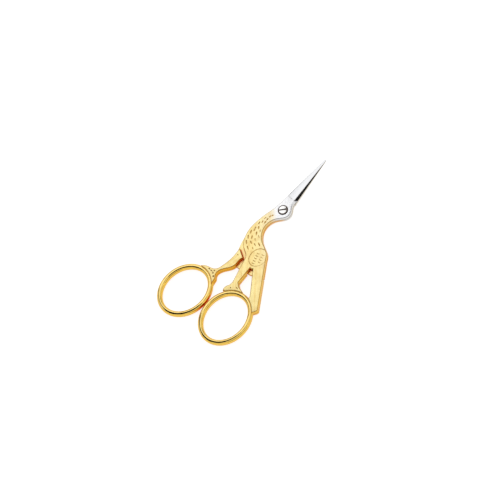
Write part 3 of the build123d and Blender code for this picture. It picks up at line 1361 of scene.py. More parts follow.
class Engraver:
    """Cuts the engraving into the outer face of a half."""

    def __init__(
        self, stork: Stork, feather: bpy.types.Material, line: bpy.types.Material, claw: bpy.types.Material
    ) -> None:
        """Builds the trees for the chisel cuts and for the lines.

        Args:
            stork: the sizes that both halves share.
            feather: the material inside a feather's cut.
            line: the material inside a line of the wing.
            claw: the material inside a claw's cut.
        """
        self.stork = stork
        self.feather, self.line, self.claw = feather, line, claw
        self.plumage = Plumage()
        self.wing = Wing()
        self.cut_tree = self.plumage.tree()
        self.line_tree = self.wing.tree()

    def height(self, face: Face, above: float) -> float:
        """Returns the height that lies above the metal's outer face by a distance."""
        return self.stork.top + above if face is Face.FRONT else -above

    def carrier(
        self, name: str, places: np.ndarray, edges: list, values: dict[str, np.ndarray]
    ) -> bpy.types.Object:
        """Makes a mesh of bare points or lines that carries numbers for a tree.

        Args:
            name: the object's name.
            places: the points, one a row.
            edges: the lines between them.
            values: a number for each point, by name.

        Returns:
            The object.
        """
        mesh = bpy.data.meshes.new(name)
        mesh.from_pydata(places.tolist(), edges, [])
        for label, numbers in values.items():
            mesh.attributes.new(label, "FLOAT", "POINT").data.foreach_set("value", numbers)
        return plain_object(name, mesh)

    def grown(
        self, carrier: bpy.types.Object, tree: bpy.types.NodeTree, finish: bpy.types.Material
    ) -> bpy.types.Object:
        """Runs a tree on a carrier and keeps the mesh that it makes.

        Args:
            carrier: the points or lines.
            tree: the tree.
            finish: the material of the cutters, which the cuts keep.

        Returns:
            The carrier, with its new mesh.
        """
        modifier = carrier.modifiers.new(tree.name, "NODES")
        modifier.node_group = tree
        for item in tree.interface.items_tree:
            if item.in_out == "INPUT" and item.name == "Material":
                modifier[item.identifier] = finish
        return settled(carrier)

    def nicks(self, face: Face, marks: Sequence[Nick], finish: bpy.types.Material) -> bpy.types.Object:
        """Makes the cutters of chisel cuts.

        Args:
            face: the face that they are cut into.
            marks: the cuts.
            finish: the material inside the cuts.

        Returns:
            The cutters, as one object.
        """
        height = self.height(face, self.plumage.rise)
        places = np.array([(mark.x, mark.y, height) for mark in marks])
        values = {
            "length": np.array([mark.length for mark in marks]),
            "turn": np.radians([mark.turn for mark in marks]),
            "strength": np.array([mark.strength for mark in marks]),
        }
        return self.grown(self.carrier("chisel_cuts", places, [], values), self.cut_tree, finish)

    def lines(self, face: Face) -> bpy.types.Object:
        """Makes the cutters of the wing's lines.

        Args:
            face: the face that they are cut into.

        Returns:
            The cutters, as one object.
        """
        places, strengths, edges = [], [], []
        for line, strength, closed in self.wing.grooves():
            first, count = len(places), len(line)
            above = self.wing.line * strength - self.wing.sink
            places += [(x, y, self.height(face, rise)) for (x, y), rise in zip(line, above)]
            strengths += list(strength)
            edges += [(first + i, first + i + 1) for i in range(count - 1)]
            if closed:
                edges.append((first + count - 1, first))
        carrier = self.carrier("wing_lines", np.array(places), edges, {"strength": np.array(strengths)})
        return self.grown(carrier, self.line_tree, self.line)

    def engrave(self, piece: bpy.types.Object, half: Forging) -> None:
        """Cuts the feathers, the wing and the claws into a half.

        Args:
            piece: the half's object, in millimetres.
            half: the half.
        """
        claws = self.plumage.front_claws if half.face is Face.FRONT else self.plumage.rear_claws
        joined(piece, self.nicks(half.face, self.plumage.feathers, self.feather), Joining.CUT)
        joined(piece, self.nicks(Face.FRONT, claws, self.claw), Joining.CUT)
        joined(piece, self.nicks(Face.REAR, claws, self.claw), Joining.CUT)
        joined(piece, self.lines(half.face), Joining.CUT)


# The pivot screw


@dataclass(frozen=True)
class PivotScrew:
    """The slotted shoulder screw: a domed head, a plain shoulder and a threaded end."""

    name: str = "pivot_screw"
    body: str = "rear"
    head_radius: float = 2.0
    head_base: float = 3.08
    rim_height: float = 3.7
    crown: float = 4.1
    crown_radius: float = 1.56
    crown_rise: float = 0.09
    crown_shares: tuple[float, ...] = (0.8, 0.6, 0.4, 0.2, 0.0)
    head_bevel: float = 0.08
    shoulder_radius: float = 1.3
    shoulder_base: float = 1.78
    thread_radius: float = 1.1
    thread_depth: float = 0.13
    thread_pitch: float = 0.35
    thread_runout: float = 0.1
    crest_half: float = 0.04
    end: float = 0.12
    end_bevel: float = 0.2
    slot_width: float = 0.58
    slot_floor: float = 3.52
    slot_flare: float = 0.1
    slot_turn: float = 43.0
    slot_reach: float = 3.0
    rounding: int = 7
    crease: float = 32.0

    def profile(self) -> list[Place]:
        """Draws the screw's side from the middle of its lower end to the middle of its crown.

        Returns:
            Radius and height of each corner.
        """
        core = self.thread_radius - self.thread_depth
        corners = [(0.0, self.end), (core - self.end_bevel, self.end), (core, self.end + self.end_bevel)]
        height = self.end + self.end_bevel
        while height + self.thread_pitch < self.shoulder_base - self.thread_runout:
            crest = height + self.thread_pitch / 2
            corners += [(self.thread_radius, crest + side * self.crest_half) for side in (-1, 1)]
            height += self.thread_pitch
            corners.append((core, height))
        corners += [(core, self.shoulder_base), (self.shoulder_radius, self.shoulder_base)]
        corners += [(self.shoulder_radius, self.head_base)]
        corners += [(self.head_radius - self.head_bevel, self.head_base)]
        corners += [(self.head_radius, self.head_base + self.head_bevel), (self.head_radius, self.rim_height)]
        shoulder = self.crown - self.crown_rise
        for step in range(1, self.rounding + 1):
            turn = math.pi / 2 * step / self.rounding
            radius = self.crown_radius + (self.head_radius - self.crown_radius) * math.cos(turn)
            corners.append((radius, self.rim_height + (shoulder - self.rim_height) * math.sin(turn)))
        for share in self.crown_shares:
            corners.append((self.crown_radius * share, self.crown - self.crown_rise * share**2))
        return corners

    def slot_cutter(self) -> bpy.types.Object:
        """Makes the driver slot's cutter, flared at its mouth.

        Returns:
            The cutter, in millimetres.
        """
        reach, half = self.slot_reach, self.slot_width / 2
        flare = half + self.slot_flare
        mouth, over = self.crown - self.slot_flare / 4, self.crown + self.slot_flare
        right = [(half, self.slot_floor), (half, mouth), (flare, over)]
        section = right + [(-u, h) for u, h in reversed(right)]
        turn = Matrix.Rotation(math.radians(self.slot_turn), 3, "Z")
        vertices = [turn @ Vector((end, u, h)) for end in (-reach, reach) for u, h in section]
        count = len(section)
        faces = [tuple(reversed(range(count))), tuple(range(count, 2 * count))]
        for i in range(count):
            j = (i + 1) % count
            faces.append((i, j, count + j, count + i))
        mesh = bpy.data.meshes.new("driver_slot")
        mesh.from_pydata([tuple(v) for v in vertices], [], faces)
        return plain_object("driver_slot", mesh)

    def build(self, finish: bpy.types.Material) -> bpy.types.Object:
        """Makes the screw.

        Args:
            finish: the screw's material.

        Returns:
            The screw, in metres.
        """
        piece = turned(self.name + "_turned", self.profile())
        joined(piece, self.slot_cutter(), Joining.CUT)
        piece.data.materials.clear()
        piece.data.materials.append(finish)
        finished(piece, self.crease)
        return piece


def finished(piece: bpy.types.Object, crease: float) -> None:
    """Scales a piece to metres and shades it smooth up to an angle.

    Args:
        piece: the piece, in millimetres.
        crease: the angle in degrees past which an edge stays sharp.
    """
    mesh = piece.data
    mesh.transform(Matrix.Scale(MM, 4))
    mesh.shade_smooth()
    mesh.set_sharp_from_angle(angle=math.radians(crease))
    mesh.update()


# Finishes


class Effects:
    """Node groups that several finishes share, each built once."""

    def __init__(self) -> None:
        """Builds every group."""
        self.facing = self.facing_group()
        self.strokes = self.strokes_group()
        self.mottle = self.mottle_group()
        self.plated = self.plated_group()
        self.seam = self.seam_shadow_group()
        self.rim = self.rim_group()

    def facing_group(self) -> bpy.types.NodeTree:
        """Builds a mask of the flat outer faces, which the finishes paint paler than the sides as a painted
        highlight.

        Returns:
            The group.
        """
        group = Group(Tree.SHADER, "flat_faces", {"Normal": Socket.VECTOR, "From": 0.8, "To": 0.98}, "Face")
        nodes, given = group.nodes, group.given
        upright = nodes.add("ShaderNodeSeparateXYZ", given["Normal"]).outputs[2]
        return group.end(nodes.ramp(nodes.math("ABSOLUTE", upright), given["From"], given["To"]))

    def strokes_group(self) -> bpy.types.NodeTree:
        """Builds the fine lines that a polishing wheel leaves along a piece.

        Returns:
            The group.
        """
        inputs = {"Vector": Socket.VECTOR, "Turn": 0.0, "Fineness": 5000.0, "Length": 14.0}
        inputs |= {"From": 0.3, "To": 0.7}
        group = Group(Tree.SHADER, "polishing_strokes", inputs, "Strokes")
        nodes, given = group.nodes, group.given
        turn = nodes.add("ShaderNodeCombineXYZ", 0.0, 0.0, given["Turn"]).outputs[0]
        across = nodes.math("DIVIDE", 1.0, given["Fineness"])
        along = nodes.math("MULTIPLY", across, given["Length"])
        size = nodes.add("ShaderNodeCombineXYZ", across, along, across).outputs[0]
        mapping = nodes.add("ShaderNodeMapping", given["Vector"], vector_type="TEXTURE")
        nodes.feed(mapping.inputs["Rotation"], turn)
        nodes.feed(mapping.inputs["Scale"], size)
        noise = nodes.add("ShaderNodeTexNoise", Vector=mapping.outputs[0], Scale=1.0, Detail=2.0)
        return group.end(nodes.ramp(noise.outputs[0], given["From"], given["To"]))

    def mottle_group(self) -> bpy.types.NodeTree:
        """Builds soft uneven patches, as handling and plating leave them.

        Returns:
            The group.
        """
        inputs = {"Vector": Socket.VECTOR, "Scale": 400.0, "From": 0.35, "To": 0.68}
        group = Group(Tree.SHADER, "uneven_patches", inputs, "Patches")
        nodes, given = group.nodes, group.given
        noise = nodes.add("ShaderNodeTexNoise", Vector=given["Vector"], Scale=given["Scale"], Detail=4.0)
        return group.end(nodes.ramp(noise.outputs[0], given["From"], given["To"]))

    def plated_group(self) -> bpy.types.NodeTree:
        """Builds the mask of the gold, which begins below a slanting line across the neck.

        Returns:
            The group.
        """
        inputs = {"Vector": Socket.VECTOR, "Height": -0.0045, "Slope": -1.0, "Softness": 0.003}
        inputs |= {"Unevenness": 0.4, "Scale": 900.0}
        group = Group(Tree.SHADER, "plated_below", inputs, "Gold")
        nodes, given = group.nodes, group.given
        parts = nodes.add("ShaderNodeSeparateXYZ", given["Vector"]).outputs
        line = nodes.math("MULTIPLY_ADD", parts[0], given["Slope"], given["Height"])
        below = nodes.math("DIVIDE", nodes.math("SUBTRACT", line, parts[1]), given["Softness"])
        noise = nodes.add("ShaderNodeTexNoise", Vector=given["Vector"], Scale=given["Scale"], Detail=3.0)
        wander = nodes.math("MULTIPLY", nodes.math("SUBTRACT", noise.outputs[0], 0.5), given["Unevenness"])
        return group.end(nodes.ramp(nodes.math("ADD", below, wander), 0.0, 1.0))

    def seam_shadow_group(self) -> bpy.types.NodeTree:
        """Builds the mask of painted shade on the walls: a painted shadow line where the halves meet, and a
        painted contact shadow at the floor.

        Returns:
            The group.
        """
        inputs = {"Vector": Socket.VECTOR, "Face": 0.0, "Seam": 0.0018, "Reach": 0.00034, "Core": 0.00014}
        group = Group(Tree.SHADER, "seam_and_floor_shadow", inputs, "Shadow")
        nodes, given = group.nodes, group.given
        height = nodes.add("ShaderNodeSeparateXYZ", given["Vector"]).outputs[2]
        off = nodes.math("ABSOLUTE", nodes.math("SUBTRACT", height, given["Seam"]))
        near = nodes.math("MINIMUM", off, nodes.math("ABSOLUTE", height))
        unmarked = nodes.ramp(near, given["Core"], given["Reach"])
        wall = nodes.math("SUBTRACT", 1.0, given["Face"])
        return group.end(nodes.math("MULTIPLY", wall, nodes.math("SUBTRACT", 1.0, unmarked)))

    def rim_group(self) -> bpy.types.NodeTree:
        """Builds the mask of the rounded edges between the flat faces and the walls, which the gilt finish
        darkens with painted shade.

        Returns:
            The group.
        """
        inputs = {"Normal": Socket.VECTOR, "Low": 0.25, "Rise": 0.25, "High": 0.96, "Fall": 0.2}
        group = Group(Tree.SHADER, "rounded_rims", inputs, "Rim")
        nodes, given = group.nodes, group.given
        tilt = nodes.math("ABSOLUTE", nodes.add("ShaderNodeSeparateXYZ", given["Normal"]).outputs[2])
        rising = nodes.ramp(tilt, given["Low"], nodes.math("ADD", given["Low"], given["Rise"]))
        falling = nodes.ramp(tilt, nodes.math("SUBTRACT", given["High"], given["Fall"]), given["High"])
        return group.end(nodes.math("MULTIPLY", rising, nodes.math("SUBTRACT", 1.0, falling)))


def new_finish(name: str) -> tuple[bpy.types.Material, Nodes, bpy.types.Node]:
    """Makes a material.

    Args:
        name: its name.

    Returns:
        The material, its nodes and its Principled shader.
    """
    material = bpy.data.materials.new(name)
    material.use_nodes = True
    nodes = Nodes(material.node_tree)
    return material, nodes, material.node_tree.nodes["Principled BSDF"]


class Surface:
    """What a finish reads of each spot on a forging, as sockets in the finish's own nodes."""

    def __init__(self, nodes: Nodes, effects: Effects) -> None:
        """Adds the nodes that read the surface.

        Args:
            nodes: the material's nodes.
            effects: the shared node groups.
        """
        self.nodes = nodes
        self.effects = effects
        spot = nodes.add("ShaderNodeTexCoord").outputs
        self.place, self.normal = spot["Object"], spot["Normal"]
        self.face = nodes.use(effects.facing, Normal=self.normal)
        self.mirror = nodes.add("ShaderNodeAttribute", attribute_name="mirror").outputs["Fac"]


@dataclass(frozen=True)
class GiltSteel:
    """Polished steel, gold plated below a line across the neck; its colour holds painted highlights and
    painted shade.
    """

    name: str
    line_height: float
    line_slope: float
    line_softness: float
    grain: float
    thin_length: float = 0.018
    thin_share: float = 0.7
    # Pale gold painted on the flat faces: painted highlight.
    gold_face_highlight: Colour = linear(239, 222, 158)
    gold_side: Colour = linear(250, 206, 84)
    gold_shade: Colour = linear(222, 176, 92)
    # Dark gold for the painted shade along seams and rims.
    gold_painted_shade: Colour = linear(160, 92, 30)
    gold_wall: Colour = linear(252, 208, 84)
    # Dark red-brown for the painted shade in tight corners.
    gold_corner_shade: Colour = linear(186, 54, 20)
    # Deep red for the painted reflection of light bounced between gold walls in recesses.
    gold_bounce_light: Colour = linear(218, 58, 10)
    # Pale steel painted on the flat faces: painted highlight.
    steel_face_highlight: Colour = linear(238, 238, 240)
    steel_side: Colour = linear(226, 227, 229)
    # Dark steel for the painted shade along seams, rims and corners.
    steel_painted_shade: Colour = linear(112, 104, 98)
    glancing: Colour = linear(255, 244, 226)
    face_roughness: float = 0.26
    side_roughness: float = 0.16
    mirror_roughness: float = 0.02
    worn_roughness: float = 0.05
    relief: float = 0.25
    mirror_relief: float = 0.03
    relief_depth: float = 0.00002
    # How pale the rings are painted, more on their flat tops: painted highlight.
    ring_highlight_side: float = 0.1
    ring_highlight_rise: float = 0.52
    patch_scale: float = 420.0
    stroke_fineness: float = 4200.0
    drawn_fineness: float = 1500.0
    drawn_length: float = 30.0
    dulling: float = 0.3
    seam_shade: float = 0.6
    rim_shade: float = 0.6
    rim_end: float = 0.0055
    rim_fade: float = 0.003
    recess_depth: float = 0.003
    recess_core: float = 0.2
    recess_open: float = 0.78
    # How much of the painted bounce light the walls and the faces get.
    side_bounce: float = 0.9
    face_bounce: float = 0.15
    corner_depth: float = 0.0006
    corner_core: float = 0.55
    corner_open: float = 0.85

    def gilding(self, on: Surface) -> bpy.types.NodeSocket:
        """Marks the gold, which is thin where it begins.

        Args:
            on: the surface.

        Returns:
            The mark, from 0 to 1.
        """
        nodes, plated = on.nodes, on.effects.plated
        line = {"Vector": on.place, "Height": self.line_height, "Slope": self.line_slope}
        begun = nodes.use(plated, **line, Softness=self.line_softness)
        thick = nodes.use(plated, **line, Softness=self.thin_length)
        return nodes.math("MULTIPLY", begun, nodes.between(thick, self.thin_share, 1.0))

    def recess_light_and_shade(
        self, on: Surface, metal: bpy.types.NodeSocket, gilt: bpy.types.NodeSocket
    ) -> bpy.types.NodeSocket:
        """Paints light and shade into the metal's colour: painted bounce light in recesses, painted shade in
        tight corners.

        Args:
            on: the surface.
            metal: the metal's own colour.
            gilt: the mark of the gold.

        Returns:
            The colour.
        """
        nodes = on.nodes
        # Recesses between gold walls are painted deep red: painted reflection of bounced light.
        recess = nodes.closeness(self.recess_depth, self.recess_core, self.recess_open)
        bounce_share = nodes.math("MULTIPLY", recess, gilt)
        bounce_share = nodes.math("MULTIPLY", bounce_share, nodes.between(on.face, self.side_bounce, self.face_bounce))
        metal = nodes.mixed(bounce_share, metal, self.gold_bounce_light)
        # Tight corners are painted dark: painted shade.
        corner = nodes.closeness(self.corner_depth, self.corner_core, self.corner_open)
        corner = nodes.math("MULTIPLY", corner, nodes.between(on.mirror, on.face, 0.0))
        return nodes.mixed(corner, metal, nodes.mixed(gilt, self.steel_painted_shade, self.gold_corner_shade))

    def painted_shading(self, on: Surface) -> bpy.types.NodeSocket:
        """Marks the painted shade along the seam, at the floor and on the rims.

        Args:
            on: the surface.

        Returns:
            The mark, from 0 to 1.
        """
        nodes = on.nodes
        smooth = nodes.math("MAXIMUM", on.face, on.mirror)
        seam = nodes.use(on.effects.seam, Vector=on.place, Face=smooth)
        rim = nodes.use(on.effects.rim, Normal=on.normal)
        along = nodes.add("ShaderNodeSeparateXYZ", on.place).outputs[1]
        past_rims = nodes.ramp(along, self.rim_end - self.rim_fade, self.rim_end)
        plain_edge = nodes.math("MAXIMUM", on.mirror, past_rims)
        # The rims are darkened: painted shade along the rounded edges.
        rim = nodes.math("MULTIPLY", rim, nodes.between(plain_edge, self.rim_shade, 0.0))
        return nodes.math("MAXIMUM", nodes.math("MULTIPLY", seam, self.seam_shade), rim)

    def build(self, effects: Effects) -> bpy.types.Material:
        """Builds the material.

        Args:
            effects: the shared node groups.

        Returns:
            The material.
        """
        material, nodes, shader = new_finish(self.name)
        on = Surface(nodes, effects)
        face, mirror = on.face, on.mirror
        gilt = self.gilding(on)
        patches = nodes.use(effects.mottle, Vector=on.place, Scale=self.patch_scale)
        grain = {"Vector": on.place, "Turn": self.grain}
        strokes = nodes.use(effects.strokes, **grain, Fineness=self.stroke_fineness)
        grain |= {"Fineness": self.drawn_fineness, "Length": self.drawn_length}
        drawn = nodes.use(effects.strokes, **grain)
        # Flat faces and the rings' tops get a paler gold: painted highlight.
        ring_highlight = nodes.math("MULTIPLY_ADD", face, self.ring_highlight_rise, self.ring_highlight_side)
        wall = nodes.mixed(mirror, self.gold_wall, self.gold_side)
        gold = nodes.mixed(nodes.between(mirror, face, ring_highlight), wall, self.gold_face_highlight)
        dull = nodes.math("MULTIPLY", nodes.math("MULTIPLY", patches, strokes), self.dulling)
        dull = nodes.math("MULTIPLY_ADD", drawn, self.dulling, dull)
        gold = nodes.mixed(dull, gold, self.gold_shade)
        # The bare steel's flat faces are paler too: painted highlight.
        metal = nodes.mixed(gilt, nodes.mixed(face, self.steel_side, self.steel_face_highlight), gold)
        # Painted bounce light in recesses and painted shade in tight corners.
        metal = self.recess_light_and_shade(on, metal, gilt)
        # Seams, the floor line and the rims are darkened: painted shade.
        painted_shade = nodes.mixed(gilt, self.steel_painted_shade, self.gold_painted_shade)
        nodes.feed(shader.inputs["Base Color"], nodes.mixed(self.painted_shading(on), metal, painted_shade))
        plain = nodes.between(face, self.side_roughness, self.face_roughness)
        rubbed = nodes.math("MULTIPLY_ADD", nodes.math("ADD", strokes, patches), self.worn_roughness, plain)
        nodes.feed(shader.inputs["Roughness"], nodes.between(mirror, rubbed, self.mirror_roughness))
        shader.inputs["Metallic"].default_value = 1.0
        shader.inputs["Specular Tint"].default_value = self.glancing
        relief = nodes.between(mirror, self.relief, self.mirror_relief)
        bump = nodes.add("ShaderNodeBump", Strength=relief, Distance=self.relief_depth, Height=strokes)
        nodes.feed(shader.inputs["Normal"], bump.outputs[0])
        return material


@dataclass(frozen=True)
class CutGold:
    """The gold inside an engraved cut, darker than the faces: partly unpolished gold, partly painted shade of
    the cut's depth.
    """

    name: str
    light: Colour
    dark: Colour
    patch_scale: float = 1500.0
    roughness: float = 0.42
    rougher: float = 0.15

    def build(self, effects: Effects) -> bpy.types.Material:
        """Builds the material.

        Args:
            effects: the shared node groups.

        Returns:
            The material.
        """
        material, nodes, shader = new_finish(self.name)
        spot = nodes.add("ShaderNodeTexCoord").outputs["Object"]
        patches = nodes.use(effects.mottle, Vector=spot, Scale=self.patch_scale)
        nodes.feed(shader.inputs["Base Color"], nodes.mixed(patches, self.light, self.dark))
        rough = nodes.math("MULTIPLY_ADD", patches, self.rougher, self.roughness)
        nodes.feed(shader.inputs["Roughness"], rough)
        shader.inputs["Metallic"].default_value = 1.0
        return material


@dataclass(frozen=True)
class ScrewSteel:
    """Bright turned steel, with faint rings round the pivot axis and painted shade below the crown."""

    name: str = "screw_steel"
    bright: Colour = linear(238, 237, 236)
    worn: Colour = linear(214, 212, 210)
    # Dark colour for the painted shade below the crown.
    painted_shade: Colour = linear(98, 80, 70)
    unshaded_above: float = 0.00402
    shaded_below: float = 0.00397
    ring_fineness: float = 9000.0
    patch_scale: float = 1200.0
    wear: float = 0.6
    roughness: float = 0.12
    rougher: float = 0.12
    relief: float = 0.2
    relief_depth: float = 0.00001

    def build(self, effects: Effects) -> bpy.types.Material:
        """Builds the material.

        Args:
            effects: the shared node groups.

        Returns:
            The material.
        """
        material, nodes, shader = new_finish(self.name)
        spot = nodes.add("ShaderNodeTexCoord").outputs["Object"]
        flat = nodes.add("ShaderNodeVectorMath", spot, (1.0, 1.0, 0.0), operation="MULTIPLY").outputs[0]
        radius = nodes.add("ShaderNodeVectorMath", flat, operation="LENGTH").outputs["Value"]
        fine = {"noise_dimensions": "1D", "Scale": self.ring_fineness, "Detail": 2.0}
        rings = nodes.add("ShaderNodeTexNoise", W=radius, **fine).outputs[0]
        patches = nodes.use(effects.mottle, Vector=spot, Scale=self.patch_scale)
        worn = nodes.math("MULTIPLY", nodes.math("MULTIPLY", rings, patches), self.wear)
        steel = nodes.mixed(worn, self.bright, self.worn)
        # Darker below the crown: painted shade round the head's shoulder and sides.
        height = nodes.add("ShaderNodeSeparateXYZ", spot).outputs[2]
        painted_shade = nodes.math("SUBTRACT", 1.0, nodes.ramp(height, self.shaded_below, self.unshaded_above))
        nodes.feed(shader.inputs["Base Color"], nodes.mixed(painted_shade, steel, self.painted_shade))
        rough = nodes.math("MULTIPLY_ADD", rings, self.rougher, self.roughness)
        nodes.feed(shader.inputs["Roughness"], rough)
        shader.inputs["Metallic"].default_value = 1.0
        bump = nodes.add("ShaderNodeBump", Strength=self.relief, Distance=self.relief_depth, Height=rings)
        nodes.feed(shader.inputs["Normal"], bump.outputs[0])
        return material


# Studio


@dataclass(frozen=True)
class Softbox:
    """A large soft lamp that faces the scissors."""

    name: str
    toward: Point
    size: Place
    radiance: float
    distance: float = 0.7

    def build(self, target: Vector) -> None:
        """Hangs the lamp.

        Args:
            target: the place that it faces.
        """
        lamp = bpy.data.lights.new(self.name, "AREA")
        lamp.shape = "RECTANGLE"
        lamp.size, lamp.size_y = self.size
        lamp.energy = self.radiance * math.pi * self.size[0] * self.size[1]
        holder = bpy.data.objects.new(self.name, lamp)
        way = Vector(self.toward).normalized()
        holder.location = target + way * self.distance
        holder.rotation_euler = way.to_track_quat("Z", "Y").to_euler()
        bpy.context.scene.collection.objects.link(holder)


@dataclass(frozen=True)
class Flag:
    """A dark strip that shows only in reflections, bent round the scissors."""

    name: str
    bearings: tuple[Place, ...]
    width: float
    distance: float = 0.5
    shade: float = 0.01

    def build(self, target: Vector) -> None:
        """Hangs the strip.

        Args:
            target: the place that it is bent round.
        """
        turns = [(math.radians(around), math.radians(up)) for around, up in self.bearings]
        ways = [Vector((math.cos(a) * math.cos(e), math.sin(a) * math.cos(e), math.sin(e))) for a, e in turns]
        reach = math.tan(math.radians(self.width) / 2)
        corners = []
        for i, way in enumerate(ways):
            run = ways[min(i + 1, len(ways) - 1)] - ways[max(i - 1, 0)]
            side = way.cross(run).normalized() * reach
            corners += [target + (way + side) * self.distance, target + (way - side) * self.distance]
        mesh = bpy.data.meshes.new(self.name)
        faces = [(2 * i, 2 * i + 1, 2 * i + 3, 2 * i + 2) for i in range(len(ways) - 1)]
        mesh.from_pydata([tuple(corner) for corner in corners], [], faces)
        hidden_card(mesh, self.shade)


@dataclass(frozen=True)
class Card:
    """A small dark card that lies flat above the scissors and shows only in reflections."""

    name: str
    low: Place
    high: Place
    height: float = 0.09
    shade: float = 0.01

    def build(self, target: Vector) -> None:
        """Lays the card.

        Args:
            target: the scissors' place, which a card doesn't need.
        """
        (west, south), (east, north) = self.low, self.high
        mesh = bpy.data.meshes.new(self.name)
        corners = [(west, south), (east, south), (east, north), (west, north)]
        mesh.from_pydata([(x, y, self.height) for x, y in corners], [], [(0, 1, 2, 3)])
        hidden_card(mesh, self.shade)


def hidden_card(mesh: bpy.types.Mesh, shade: float) -> None:
    """Stands a dark mesh in the studio, where only mirror-like surfaces see it.

    Args:
        mesh: the card's mesh.
        shade: how light it is, from 0 to 1.
    """
    material, _, shader = new_finish(mesh.name)
    shader.inputs["Base Color"].default_value = (shade, shade, shade, 1.0)
    shader.inputs["Roughness"].default_value = MATT_ROUGHNESS
    mesh.materials.append(material)
    card = plain_object(mesh.name, mesh)
    card.visible_camera = False
    card.visible_diffuse = False
    card.visible_transmission = False


@dataclass(frozen=True)
class Studio:
    """A white floor, soft lamps, dark cards and the camera of the photograph."""

    floor_size: float = 6.0
    floor_drop: float = 0.00006
    floor_shade: float = 0.5
    floor_glow: float = 0.8
    floor_shine: float = 0.64
    room_light: float = 0.6
    room_shine: float = 0.84
    aim: Point = (-0.00667, -0.02066, 0.00325)
    view_from: Point = (0.4104, -0.1479, 0.9001)
    picture_right: Point = (0.7438, 0.6254, -0.2364)
    frame_width: float = 0.19906
    lens: float = 200.0
    sight: float = 20.0
    softboxes: tuple[Softbox, ...] = (
        Softbox("left_softbox", (-0.52, 0.2, 0.83), size=(0.6, 0.65), radiance=0.46),
        Softbox("right_softbox", (0.75, 0.2, 0.65), size=(0.4, 0.5), radiance=0.35, distance=0.9),
    )
    flags: tuple[Flag | Card, ...] = (
        Flag("low_right_flag", ((-45, 10), (-20, 10), (0, 10), (15, 10)), width=14.0),
        Flag("high_flag", ((16, 82), (22, 72), (30, 62)), width=7.0),
        Flag("low_left_flag", ((150, 8), (165, 8), (180, 8), (196, 8)), width=34.0, shade=0.22),
        Card("near_card", (-0.06, -0.13), (0.03, -0.044)),
        Card("left_card", (-0.112, -0.07), (-0.052, -0.054)),
        Card("far_card", (-0.042, -0.178), (-0.006, -0.132)),
        Card("blade_card", (-0.033, 0.022), (0.014, 0.082)),
    )

    def shown(self, nodes: Nodes, seen: float, mirrored: float, otherwise: float) -> bpy.types.NodeSocket:
        """Gives one strength to camera rays, one to mirrored rays and one to the rest.

        Args:
            nodes: the nodes of the floor or the world.
            seen: the strength where the camera looks.
            mirrored: the strength in reflections.
            otherwise: the strength for all other rays.

        Returns:
            The strength.
        """
        path = nodes.add("ShaderNodeLightPath").outputs
        bright = nodes.math("MAXIMUM", path["Is Glossy Ray"], path["Is Transmission Ray"])
        shine = nodes.add("ShaderNodeMapRange", bright, 0.0, 1.0, otherwise, mirrored).outputs[0]
        return nodes.add("ShaderNodeMapRange", path["Is Camera Ray"], 0.0, 1.0, shine, seen).outputs[0]

    def floor(self) -> None:
        """Lays the floor, which keeps the shadow and shows white."""
        half = self.floor_size / 2
        mesh = bpy.data.meshes.new("floor")
        corners = [(-half, -half), (half, -half), (half, half), (-half, half)]
        mesh.from_pydata([(x, y, -self.floor_drop) for x, y in corners], [], [(0, 1, 2, 3)])
        material, nodes, shader = new_finish("white_floor")
        shade = self.floor_shade
        shader.inputs["Base Color"].default_value = (shade, shade, shade, 1.0)
        shader.inputs["Roughness"].default_value = MATT_ROUGHNESS
        shader.inputs["Emission Color"].default_value = (1.0, 1.0, 1.0, 1.0)
        glow = self.shown(nodes, self.floor_glow, self.floor_shine, 0.0)
        nodes.feed(shader.inputs["Emission Strength"], glow)
        mesh.materials.append(material)
        plain_object("floor", mesh)

    def room(self) -> None:
        """Fills the world with even light, white where the camera sees it."""
        world = bpy.data.worlds.new("studio")
        world.use_nodes = True
        bpy.context.scene.world = world
        nodes = Nodes(world.node_tree)
        background = world.node_tree.nodes["Background"]
        background.inputs["Color"].default_value = (1.0, 1.0, 1.0, 1.0)
        nodes.feed(background.inputs["Strength"], self.shown(nodes, 1.0, self.room_shine, self.room_light))

    def camera(self) -> None:
        """Stands the camera at the photograph's viewing angle."""
        lens = bpy.data.cameras.new("camera")
        lens.lens = self.lens
        lens.clip_end = self.sight
        holder = bpy.data.objects.new("camera", lens)
        back, right = Vector(self.view_from).normalized(), Vector(self.picture_right).normalized()
        up = back.cross(right).normalized()
        distance = self.frame_width * self.lens / lens.sensor_width
        turn = Matrix((up.cross(back), up, back)).transposed().to_4x4()
        holder.matrix_world = Matrix.Translation(Vector(self.aim) + back * distance) @ turn
        bpy.context.scene.collection.objects.link(holder)
        bpy.context.scene.camera = holder

    def build(self) -> None:
        """Builds the whole studio."""
        self.floor()
        self.room()
        for item in (*self.softboxes, *self.flags):
            item.build(Vector(self.aim))
        self.camera()
        bpy.context.scene.view_settings.view_transform = "Standard"


# The scissors


